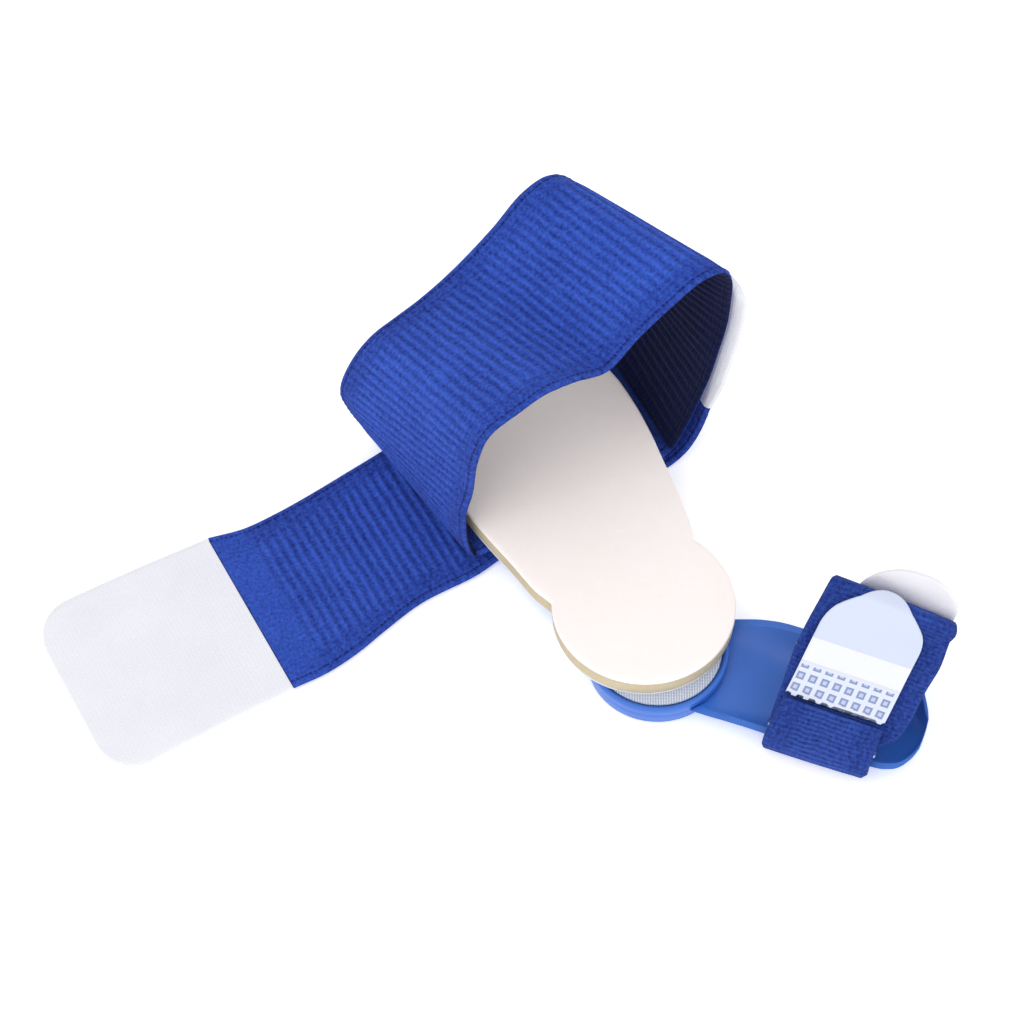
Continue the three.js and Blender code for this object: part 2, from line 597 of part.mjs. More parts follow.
// Keyhole outline of the pad: a round end over the hub and a long body that widens under the loop
function padOutline(inset) {
  const start = PAD_DISC_ALONG - PAD_DISC_RADIUS;
  const at = (row, side) => new THREE.Vector2(
    row[side] * PAD_WIDTH - (side === 'right' ? inset : -inset),
    start + row.along * PAD_LENGTH - inset * 0.5,
  );
  const right = PAD_EDGES.map((row) => at(row, 'right'));
  const left = PAD_EDGES.map((row) => at(row, 'left')).reverse();
  const end = new THREE.Vector2(PAD_DISC_ACROSS, start + PAD_LENGTH - inset);
  const centre = new THREE.Vector2(PAD_DISC_ACROSS, PAD_DISC_ALONG);
  const radius = PAD_DISC_RADIUS - inset;
  const from = Math.atan2(left[left.length - 1].y - centre.y, left[left.length - 1].x - centre.x);
  const to = Math.atan2(right[0].y - centre.y, right[0].x - centre.x) + Math.PI * 2;
  const body = new THREE.SplineCurve([...right, end, ...left]).getPoints(34);
  const disc = [];
  const steps = 30;
  for (let i = 1; i < steps; i += 1) {
    const angle = from + ((to - from) * i) / steps;
    disc.push(new THREE.Vector2(centre.x + radius * Math.cos(angle), centre.y + radius * Math.sin(angle)));
  }
  return new THREE.Shape([...body, ...disc]);
}

// One layer of the pad
function padLayer(base, thickness, inset) {
  const geometry = new THREE.ExtrudeGeometry(padOutline(inset), { depth: thickness, bevelEnabled: false });
  geometry.translate(0, 0, base);
  return geometry;
}

// Open tab that ends the tail of the midfoot strap, flat on the surface
function openTab() {
  const joint = -(ARM_WIDTH / 2 - BAR_WIDTH / 2) - TAIL_LENGTH - SEAT_GAP;
  const last = TAIL_ROWS[TAIL_ROWS.length - 1];
  const level = MIDFOOT_TAB_THICKNESS / 2 + 0.1;
  const rows = [
    levelRow(joint, level, last.near, last.far),
    levelRow(joint - MIDFOOT_TAB_LENGTH * 0.5, level, last.near - 0.02, last.far + 0.005),
    levelRow(joint - MIDFOOT_TAB_LENGTH, level, last.near - 0.065, last.far - 0.005),
  ];
  const end = 0.21;
  return tabSheet(rows, MIDFOOT_TAB_THICKNESS, (t) => roundedEnd(t, end, 0.56), tabSteps(5, end, 7));
}

// Closed tab that holds the outer layer of the midfoot strap to its back wall: it follows the wall
// from the joint of the outer layer up to just under the ridge
function closedTab() {
  const last = LOOP_FOLDS.findIndex((row) => row.at === 'back low');
  const wall = LOOP_FOLDS.slice(0, last + 1).map((row) => ({ near: loopPoint(row.near), far: loopPoint(row.far) }));
  const held = stationsAlong(wall, 2.5).filter((station) => station.left <= CLOSED_TAB_LENGTH);
  const seat = faceRows(held, bandHalf + TAB_GAP + MIDFOOT_TAB_THICKNESS / 2, () => [-CLOSED_TAB_REACH / MIDFOOT_BAND, 1]);
  const joint = OUTER_FOLDS[0];
  const foot = { near: loopPoint(joint.near), far: loopPoint(joint.far) };
  const next = seat[seat.length - 1];
  for (const hem of ['near', 'far']) {
    const way = new THREE.Vector3().subVectors(next[hem], foot[hem]).normalize();
    foot[hem].addScaledVector(way, TAB_GAP);
  }
  const rows = [foot, ...seat.reverse()];
  const end = 0.24;
  return tabSheet(rows, MIDFOOT_TAB_THICKNESS, (t) => roundedEnd(t, end, 0.56), tabSteps(14, end, 6));
}

// Half width of the toe splint's outside at a share of its length, toward the near or the far side
function toeHalf(along, side) {
  const rows = TOE_SECTIONS;
  let k = 0;
  while (k < rows.length - 2 && rows[k + 1].along < along) {
    k += 1;
  }
  const part = THREE.MathUtils.clamp((along - rows[k].along) / (rows[k + 1].along - rows[k].along), 0, 1);
  return THREE.MathUtils.lerp(rows[k][side], rows[k + 1][side], part) * (TOE_WIDTH / 2);
}

// Bar beside a slot of the toe splint, as the middle of its lower edge in the splint's section
const toeSlotMiddle = (TOE_SLOT_START + TOE_SLOT_LENGTH / 2) / TOE_LENGTH;
function toeBar(side) {
  const far = side === 'far';
  const sign = far ? 1 : -1;
  const rim = far ? TOE_RIM_FAR : TOE_RIM_NEAR;
  const outside = toeHalf(toeSlotMiddle, side);
  const edge = rim - TOE_BAR_HEIGHT;
  const outerShare = (edge / rim) ** (1 / TOE_WALL_POWER);
  const floor = 0.3 * TOE_RIM_NEAR;
  const innerShare = ((edge - floor) / (rim - floor)) ** (1 / TOE_WALL_POWER);
  const outer = outside * outerShare;
  const inner = (outside - TOE_WALL) * innerShare;
  return {
    sign,
    edge,
    outer,
    inner,
    across: TOE_OFFSET + sign * ((outer + inner) / 2),
    half: (outer - inner) / 2,
    rim,
    outside,
  };
}

// Turn of the toe strap round a bar of the toe splint, from outside the bar to inside it
function toeTurn(side, left, right) {
  const bar = toeBar(side);
  const radius = bar.half + SEAT_GAP + bandHalf;
  return [0, -30, -60, -90, -120, -150, -180].map((degrees) => {
    const angle = THREE.MathUtils.degToRad(degrees);
    const wide = degrees > -90 ? radius + TOE_FOLD_BULGE : radius;
    const across = bar.across + bar.sign * wide * Math.cos(angle);
    const up = bar.edge + SEAT_GAP + radius * Math.sin(angle);
    return {
      near: new THREE.Vector3(left * TOE_LENGTH, across, up),
      far: new THREE.Vector3(right * TOE_LENGTH, across, up),
    };
  });
}

// Row of the toe strap from its shares
function toeRow(row) {
  const across = TOE_OFFSET + row.across * TOE_WIDTH;
  return {
    near: new THREE.Vector3(row.left * TOE_LENGTH, across, row.up * TOE_LOOP_HEIGHT),
    far: new THREE.Vector3(row.right * TOE_LENGTH, across, (row.up - row.drop) * TOE_LOOP_HEIGHT),
  };
}

// Rows of the toe strap, from the front tab's joint round both bars to the back tab's joint
function toeRows() {
  const farBar = toeBar('far');
  const clear = SEAT_GAP + bandHalf;
  const outsideFar = (farBar.outside + clear) / TOE_WIDTH;
  return [
    ...TOE_OUTER_FOLDS.map(toeRow),
    ...toeTurn('near', 0.47, 0.848),
    ...TOE_LOOP_FOLDS.map(toeRow),
    ...toeTurn('far', 0.47, 0.848).reverse(),
    toeRow({ across: outsideFar + 0.02, up: farBar.rim / TOE_LOOP_HEIGHT, left: 0.49, right: 0.86, drop: 0 }),
    toeRow({ across: 0.585, up: 0.35, left: 0.53, right: 0.9, drop: 0 }),
    toeRow({ across: 0.594, up: 0.44, left: 0.56, right: 0.924, drop: 0 }),
  ];
}

// Toe splint: solid hub with a blind bore, and a scoop with a rounded tip and a slot at each side
function toeSplint() {
  const hub = turned([
    [0, 0],
    [TOE_HUB_RADIUS - 0.9, 0],
    [TOE_HUB_RADIUS - 0.3, 0.6],
    [TOE_HUB_RADIUS, TOE_HUB_HEIGHT - 0.4],
    [TOE_HUB_RADIUS - 0.4, TOE_HUB_HEIGHT],
    [RIVET_RADIUS + SEAT_GAP, TOE_HUB_HEIGHT],
    [RIVET_RADIUS + SEAT_GAP, RIVET_BASE - SEAT_GAP],
    [0, RIVET_BASE - SEAT_GAP],
  ]);
  const shares = [-1, -0.94, -0.84, -0.7, -0.5, -0.2, 0.2, 0.5, 0.7, 0.84, 0.94, 1];
  const rings = TOE_SECTIONS.map((row) => {
    const half = (share) => (share < 0 ? row.near : row.far) * (TOE_WIDTH / 2);
    const rim = (share) => (share < 0 ? TOE_RIM_NEAR : TOE_RIM_FAR) * row.rim;
    const point = (share, wall, base) => new THREE.Vector3(
      row.along * TOE_LENGTH,
      TOE_OFFSET + share * (half(share) - Math.min(wall, half(share) * 0.35)),
      base + (rim(share) - base) * Math.abs(share) ** TOE_WALL_POWER,
    );
    const outside = shares.map((share) => point(share, 0, row.lift * TOE_RIM_NEAR));
    const inside = shares.map((share) => point(share, TOE_WALL, row.floor * TOE_RIM_NEAR));
    return [...outside, ...inside.reverse()];
  });
  const clear = turned([
    [0, TOE_HUB_HEIGHT],
    [HUB_RADIUS + SEAT_GAP, TOE_HUB_HEIGHT],
    [HUB_RADIUS + SEAT_GAP, 3 * TOE_HUB_HEIGHT],
    [0, 3 * TOE_HUB_HEIGHT],
  ]);
  const bore = turned([
    [0, RIVET_BASE - SEAT_GAP],
    [RIVET_RADIUS + SEAT_GAP, RIVET_BASE - SEAT_GAP],
    [RIVET_RADIUS + SEAT_GAP, 2 * TOE_HUB_HEIGHT],
    [0, 2 * TOE_HUB_HEIGHT],
  ]);
  let solid = toSolid(hub).add(toSolid(loft(rings))).subtract(toSolid(clear)).subtract(toSolid(bore));
  for (const side of ['near', 'far']) {
    const bar = toeBar(side);
    const room = bar.half + 2 * (SEAT_GAP + bandHalf) + SEAT_GAP;
    const inner = bar.across - bar.sign * room;
    const outer = bar.across + bar.sign * room;
    const low = new THREE.Vector3(TOE_SLOT_START, Math.min(inner, outer), -1);
    const high = new THREE.Vector3(TOE_SLOT_START + TOE_SLOT_LENGTH, Math.max(inner, outer), bar.edge);
    solid = solid.subtract(toSolid(block(low, high)));
  }
  return toGeometry(solid);
}

// Rows of a toe tab between two hems that lean toward the tip, given from its joint to its round end
function leaningRows(line, left) {
  return line.map((row, i) => {
    const lean = (i / (line.length - 1)) * TOE_TAB_LEAN;
    const start = left + lean;
    return toeRow({ ...row, left: start, right: start + TOE_TAB_WIDTH / TOE_LENGTH });
  });
}

// Front tab of the toe strap: it lies on the front face, from the outer piece's joint toward the ridge
function frontTab() {
  const first = TOE_LOOP_FOLDS.findIndex((row) => row.at === 'front knee');
  const face = stationsAlong(TOE_LOOP_FOLDS.slice(first).map(toeRow), 1.5);
  const start = TOE_TAB_START + TAB_GAP;
  const held = face.filter(({ reach }) => reach >= start && reach <= start + TOE_TAB_LENGTH);
  const rows = faceRows(held, -(bandHalf + TAB_GAP + TOE_TAB_THICKNESS / 2), (station, part) => {
    const left = (TOE_OUTER_FOLDS[0].left + part * TOE_TAB_LEAN) * TOE_LENGTH;
    const width = station.far.x - station.near.x;
    const low = (left - station.near.x) / width;
    return [low, low + TOE_TAB_WIDTH / width];
  });
  return tabSheet(rows, TOE_TAB_THICKNESS, (t) => roundedEnd(t, 0.37, 0.12), tabSteps(9, 0.37, 10));
}

// Back tab of the toe strap: it stands free behind the back face
function backTab() {
  const rows = leaningRows(BACK_TAB_LINE, 0.588);
  return tabSheet(rows, TOE_TAB_THICKNESS, (t) => roundedEnd(t, 0.48, 0.12), tabSteps(6, 0.48, 9));
}

// Named mesh
function piece(name, geometry, material) {
  const mesh = new THREE.Mesh(geometry, material);
  mesh.name = name;
  return mesh;
}

const metatarsal = new THREE.Group();
metatarsal.rotation.z = METATARSAL_YAW;
metatarsal.add(
  piece('metatarsal_splint', metatarsalSplint(), plasticBlue),
  piece('hinge_rivet', hingeRivet(), rivetSteel),
  piece('hook_disc', hookDisc(), meshWhite),
  piece('pad_backing', padLayer(backingBase, BACKING_THICKNESS, 0.5), backingWhite),
  piece('pad_foam', padLayer(foamBase, FOAM_THICKNESS, 0.2), foamTan),
  piece('pad_felt', padLayer(feltBase, FELT_THICKNESS, 0), feltPink),
  piece('midfoot_strap', ribbedBand(midfootRows(), MIDFOOT_RIB_PITCH, 8), knitBlue),
  piece('midfoot_tab_open', openTab(), hookWhite),
  piece('midfoot_tab_closed', closedTab(), hookWhite),
);

const toe = new THREE.Group();
toe.rotation.z = TOE_YAW;
toe.add(
  piece('toe_splint', toeSplint(), plasticBlue),
  piece('toe_strap', ribbedBand(toeRows(), TOE_RIB_PITCH, 0), knitBlue),
  piece('toe_tab_front', frontTab(), hookPale),
  piece('toe_tab_back', backTab(), hookGrey),
);

const part = new THREE.Group();
part.add(metatarsal, toe);

export default part;
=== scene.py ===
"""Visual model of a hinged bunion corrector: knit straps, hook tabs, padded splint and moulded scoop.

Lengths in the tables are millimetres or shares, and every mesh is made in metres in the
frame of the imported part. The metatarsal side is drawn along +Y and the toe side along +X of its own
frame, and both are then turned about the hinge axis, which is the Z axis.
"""

import logging
import math
from dataclasses import dataclass, replace
from enum import Enum

import bpy
import numpy as np
from mathutils import Matrix


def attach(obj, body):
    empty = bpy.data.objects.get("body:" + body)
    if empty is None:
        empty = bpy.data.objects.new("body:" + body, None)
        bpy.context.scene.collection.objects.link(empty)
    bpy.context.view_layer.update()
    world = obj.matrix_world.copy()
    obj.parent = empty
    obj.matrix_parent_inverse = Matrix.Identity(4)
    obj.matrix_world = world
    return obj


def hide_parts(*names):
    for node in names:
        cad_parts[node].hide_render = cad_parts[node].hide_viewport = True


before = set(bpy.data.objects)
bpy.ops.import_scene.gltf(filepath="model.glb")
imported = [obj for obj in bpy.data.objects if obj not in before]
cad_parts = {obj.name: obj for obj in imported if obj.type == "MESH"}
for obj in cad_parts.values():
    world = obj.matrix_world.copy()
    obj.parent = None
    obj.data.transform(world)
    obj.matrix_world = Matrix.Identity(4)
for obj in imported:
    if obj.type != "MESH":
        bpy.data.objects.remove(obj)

Array = np.ndarray
Material = bpy.types.Material
Piece = bpy.types.Object
Socket = bpy.types.NodeSocket
Value = Socket | float
Point = tuple[float, float, float]
Row = list[Point]

LOG = logging.getLogger("bunion_corrector")
MM = 0.001
SHEET_UNIT = 100.0  # millimetres of cloth or tape per unit of the sheet's UV map
CURVE_STEP = 1e-3  # share of a curve over which its direction is measured

# Sizes shared with the part, in millimetres
METATARSAL_YAW = math.radians(28)
TOE_YAW = math.radians(-20)
SEAT_GAP = 0.3
LAYER_GAP = 0.25
TAB_GAP = 0.55
HUB_RADIUS = 18.9
TOE_HUB_RADIUS = 18.3
TOE_HUB_HEIGHT = 4.9
HUB_FLOOR = 1.6
HUB_LIP_WIDTH = 1.6
HUB_LIP_HEIGHT = 1.2
RIVET_RADIUS = 3.0
RIVET_HEAD_RADIUS = 5.2
RIVET_HEAD_HEIGHT = 0.6
DISC_THICKNESS = 0.9
ARM_LENGTH = 109.0
ARM_WIDTH = 40.0
ARM_THICKNESS = 2.3
ARM_HEIGHT = 2.9
BAR_WIDTH = 3.2
SLOT_WIDTH = 3.8
SLOT_START = 46.0
SLOT_LENGTH = 58.5
PAD_DISC_RADIUS = 24.1
PAD_DISC_ACROSS = 1.3
PAD_DISC_ALONG = 9.9
PAD_LENGTH = 114.5
PAD_WIDTH = 58.0
BACKING_THICKNESS = 0.5
FOAM_THICKNESS = 4.6
FELT_THICKNESS = 1.2
BAND_THICKNESS = 1.7
RIB_HEIGHT = 0.3
LOOP_SPAN = 80.0
LOOP_HEIGHT = 74.0
MIDFOOT_BAND = 51.0
MIDFOOT_START = 51.5
TAIL_LENGTH = 69.2
MIDFOOT_TAB_LENGTH = 52.4
CLOSED_TAB_LENGTH = 34.0
CLOSED_TAB_REACH = 1.6
CLOSED_TAB_SWELL = 1.1
MIDFOOT_TAB_THICKNESS = 1.6
MIDFOOT_RIB_PITCH = 2.7
TOE_LENGTH = 72.8
TOE_WIDTH = 32.0
TOE_OFFSET = 1.6
TOE_WALL = 1.9
TOE_RIM_NEAR = 7.0
TOE_RIM_FAR = 9.0
TOE_WALL_POWER = 3.4
TOE_SLOT_START = 33.5
TOE_SLOT_LENGTH = 29.2
TOE_BAR_HEIGHT = 1.9
TOE_FOLD_BULGE = 2.0
TOE_RIB_PITCH = 2.3
TOE_LOOP_HEIGHT = 35.4
TOE_TAB_WIDTH = 26.5
TOE_TAB_LENGTH = 33.4
TOE_TAB_START = 1.5
TOE_TAB_THICKNESS = 1.1
TOE_TAB_LEAN = 0.075
TOE_GRID_CELL = 3.25

HUB_BASE = TOE_HUB_HEIGHT + SEAT_GAP
HUB_DECK = HUB_BASE + HUB_FLOOR
DISC_BASE = HUB_DECK + SEAT_GAP
LIP_TOP = HUB_DECK + HUB_LIP_HEIGHT
BACKING_BASE = max(LIP_TOP, DISC_BASE + DISC_THICKNESS) + SEAT_GAP
FOAM_BASE = BACKING_BASE + BACKING_THICKNESS + LAYER_GAP
FELT_BASE = FOAM_BASE + FOAM_THICKNESS + LAYER_GAP
BAND_HALF = BAND_THICKNESS / 2 + RIB_HEIGHT

# Loop of the midfoot strap: near hem (across, along, up), then far hem, in shares of the loop's sizes
LOOP_FOLDS = {
    "left fold": ((-0.345, -0.045, 0.062), (-0.42, 0.96, 0.072)),
    "left foot": ((-0.366, -0.022, 0.135), (-0.455, 0.947, 0.135)),
    "left wall low": ((-0.365, 0.0, 0.3), (-0.499, 0.951, 0.27)),
    "left wall mid": ((-0.339, 0.0, 0.43), (-0.518, 0.957, 0.378)),
    "left wall top": ((-0.319, 0.0, 0.61), (-0.463, 0.961, 0.52)),
    "left shoulder": ((-0.272, 0.0, 0.74), (-0.388, 0.965, 0.603)),
    "roof left": ((-0.161, 0.01, 0.792), (-0.3, 0.971, 0.643)),
    "roof crown": ((-0.062, 0.024, 0.817), (-0.219, 0.976, 0.678)),
    "roof middle": ((0.056, 0.039, 0.796), (-0.13, 0.982, 0.73)),
    "roof dent": ((0.175, 0.057, 0.754), (-0.044, 0.99, 0.792)),
    "slope low": ((0.3, 0.082, 0.849), (0.075, 1.01, 0.885)),
    "slope high": ((0.425, 0.096, 0.935), (0.192, 1.03, 0.996)),
    "ridge": ((0.532, 0.104, 0.997), (0.284, 1.04, 1.022)),
    "ridge turn": ((0.614, 0.108, 0.988), (0.354, 1.04, 0.962)),
    "back top": ((0.648, 0.108, 0.914), (0.398, 1.04, 0.86)),
    "back bulge": ((0.65, 0.108, 0.79), (0.44, 1.04, 0.71)),
    "back middle": ((0.637, 0.096, 0.665), (0.495, 1.035, 0.59)),
    "back lean": ((0.6, 0.073, 0.538), (0.545, 1.03, 0.485)),
    "back low": ((0.566, 0.055, 0.426), (0.57, 1.025, 0.37)),
    "back foot": ((0.52, 0.041, 0.304), (0.548, 1.018, 0.264)),
    "right foot": ((0.462, 0.022, 0.183), (0.488, 1.014, 0.168)),
    "right fold": ((0.427, 0.014, 0.126), (0.43, 1.01, 0.126)),
}

# Outer layer of the midfoot strap on the right, in the same shares
OUTER_FOLDS = (
    ((0.572, 0.037, 0.25), (0.606, 1.01, 0.225)),
    ((0.54, 0.03, 0.142), (0.548, 1.01, 0.122)),
    ((0.49, 0.02, 0.059), (0.483, 1.01, 0.057)),
)

# Open tail: reach as a share of its length, then the near and the far hem
TAIL_ROWS = (
    (0.06, -0.09, 0.885), (0.16, -0.115, 0.835), (0.4, -0.13, 0.78), (0.58, -0.19, 0.745),
    (0.72, -0.245, 0.725), (0.86, -0.277, 0.72), (1.0, -0.278, 0.755),
)

# Outline of the pad: along, left, right
PAD_EDGES = (
    (0.325, -0.352, 0.407), (0.36, -0.376, 0.424), (0.45, -0.403, 0.459), (0.54, -0.434, 0.484),
    (0.62, -0.455, 0.507), (0.72, -0.468, 0.521), (0.82, -0.46, 0.508), (0.92, -0.39, 0.43),
    (0.97, -0.29, 0.33),
)

# Metatarsal arm: along, half width, drop from the hub's deck
ARM_SECTIONS = (
    (0.11, 0.3, 0.0), (0.178, 0.4, 0.0), (0.215, 0.45, 0.3), (0.255, 0.48, 0.75),
    (0.3, 0.5, 1.0), (0.965, 0.5, 1.0), (0.985, 0.45, 1.0), (1.0, 0.36, 1.0),
)

# Toe scoop: along, near, far, rim, floor, lift
TOE_SECTIONS = (
    (0.08, 0.86, 0.8, 0.6, 0.62, 0.0), (0.19, 0.94, 0.84, 0.78, 0.62, 0.0),
    (0.25, 0.97, 0.9, 0.88, 0.6, 0.0), (0.32, 0.98, 0.98, 0.95, 0.5, 0.0),
    (0.41, 0.99, 1.03, 1.0, 0.36, 0.0), (0.52, 1.0, 1.03, 1.0, 0.3, 0.0),
    (0.72, 1.0, 1.02, 1.0, 0.3, 0.0), (0.87, 0.99, 1.01, 1.0, 0.3, 0.0),
    (0.92, 0.94, 0.84, 0.99, 0.32, 0.02), (0.955, 0.84, 0.56, 0.97, 0.4, 0.08),
    (0.985, 0.62, 0.3, 0.94, 0.58, 0.22), (1.0, 0.4, 0.12, 0.92, 0.76, 0.42),
)

# Toe strap between its bars: across, up, left, right, drop
TOE_LOOP_FOLDS = (
    (-0.35, 0.245, 0.47, 0.86, 0.0), (-0.335, 0.31, 0.472, 0.885, 0.005),
    (-0.27, 0.365, 0.475, 0.92, 0.04), (-0.15, 0.435, 0.478, 0.945, 0.045),
    (0.088, 0.622, 0.487, 0.972, 0.045), (0.256, 0.745, 0.502, 0.995, 0.06),
    (0.43, 0.885, 0.525, 1.0, 0.12), (0.55, 0.985, 0.542, 1.006, 0.15),
    (0.603, 0.94, 0.545, 1.006, 0.15), (0.575, 0.79, 0.54, 1.01, 0.1),
    (0.5, 0.565, 0.51, 0.96, 0.03), (0.415, 0.36, 0.48, 0.89, 0.0),
)
TOE_FACE_START = 2

# Outer piece of the toe strap, and the line of the back tab (across, up, drop)
TOE_OUTER_FOLDS = (
    (-0.277, 0.462, 0.5, 0.868, 0.06), (-0.37, 0.4, 0.49, 0.866, 0.035),
    (-0.46, 0.33, 0.48, 0.863, 0.01), (-0.54, 0.255, 0.472, 0.86, 0.0),
    (-0.572, 0.19, 0.47, 0.858, 0.0),
)
BACK_TAB_LINE = (
    (0.602, 0.455, 0.0), (0.624, 0.62, 0.0), (0.662, 0.77, -0.02), (0.69, 0.96, 0.0),
    (0.695, 1.2, 0.02),
)
BACK_TAB_LEFT = 0.588


class Body(Enum):
    """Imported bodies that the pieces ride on."""

    METATARSAL = "metatarsal"
    TOE = "toe"


class Slot(Enum):
    """Material slots of the record."""

    PLASTIC = "plastic"
    STEEL = "steel"
    HOOK_DISC = "hook_disc"
    BACKING = "backing"
    FOAM = "foam"
    FELT = "felt"
    KNIT = "knit"
    HOOK_WHITE = "hook_white"
    HOOK_PALE = "hook_pale"
    HOOK_GREY = "hook_grey"


@dataclass(frozen=True)
class Finish:
    """Surface finish of one material."""

    name: str
    colour: str
    dark: str
    roughness: float
    sheen: float = 0.0
    coat: float = 0.0
    specular: float = 0.5
    grain: float = 400.0


# Elastic rib knit: matt, painted shade in the valley between ribs, no gloss; the toe strap's is a little
# darker
KNIT = Finish("ribbed_knit", "4068DA", "101F70", 0.95, sheen=0.05, specular=0.1, grain=1100)
TOE_KNIT = replace(KNIT, colour="3D5FC0", dark="0F1D62")
# Injection-moulded polypropylene: even colour, soft gloss on edges
PLASTIC = Finish("moulded_plastic", "3873D2", "2C5DB8", 0.38, coat=0.06, grain=120)
# Woven nylon hook tape: fine rows, nearly flat white; the back of a tab is greyer
HOOK_WHITE = Finish("hook_tape_white", "F1F1F6", "D9DAE3", 0.78, sheen=0.1, grain=1100)
HOOK_PALE = Finish("hook_tape_pale", "E3EAF8", "98A8D0", 0.42, grain=600)
HOOK_GREY = Finish("hook_tape_grey", "F0EEF3", "DEDCE3", 0.8, sheen=0.1, grain=900)
# Brushed polyester felt: chalky, faint pink; under it open foam in beige and a white lining
FELT = Finish("brushed_felt", "FFF8F6", "FAEEEB", 0.97, sheen=0.15, specular=0.2, grain=700)
FOAM = Finish("open_foam", "DDD0B4", "B8A883", 0.95, grain=1500)
BACKING = Finish("pad_backing", "EDECEF", "DFDEE2", 0.9, grain=1200)
# Warp-knitted mesh: bright loops over a blue-grey ground
MESH_DISC = Finish("knit_disc", "EEF1F8", "A9B4CF", 0.9, grain=1600)
# Turned steel, dull
STEEL = Finish("rivet_steel", "C3C6CC", "A3A7AD", 0.35, grain=300)
# Paper sweep: pure white
FLOOR = Finish("pale_floor", "FFFFFF", "FFFFFF", 0.95)
INNER_SHADE_COLOUR = "050D36"  # painted shade on the inner side of the midfoot strap's loop

# Stage: name, place in metres, size in metres, power in watts
LAMPS = (("key", (-0.5, -0.45, 1.1), 0.9, 3.2), ("fill", (0.5, -0.8, 0.6), 0.9, 2.0))
WORLD_STRENGTH = 0.9
FLOOR_GLOW = 0.32
FLOOR_HALF = 6.0
FLOOR_DROP = 0.0002
CAMERA_LENS = 126.9
CAMERA_PLACE = (-0.0379, -0.48397, 0.81845)
CAMERA_TILT = math.radians(33)


def linear(hex_colour: str) -> tuple[float, float, float, float]:
    """Turns an sRGB colour into the linear values of the shaders.

    Args:
        hex_colour: six hexadecimal digits.

    Returns:
        A tuple of red, green, blue and alpha.
    """
    values = [int(hex_colour[i:i + 2], 16) / 255 for i in (0, 2, 4)]
    done = [v / 12.92 if v <= 0.04045 else ((v + 0.055) / 1.055) ** 2.4 for v in values]
    return (*done, 1.0)


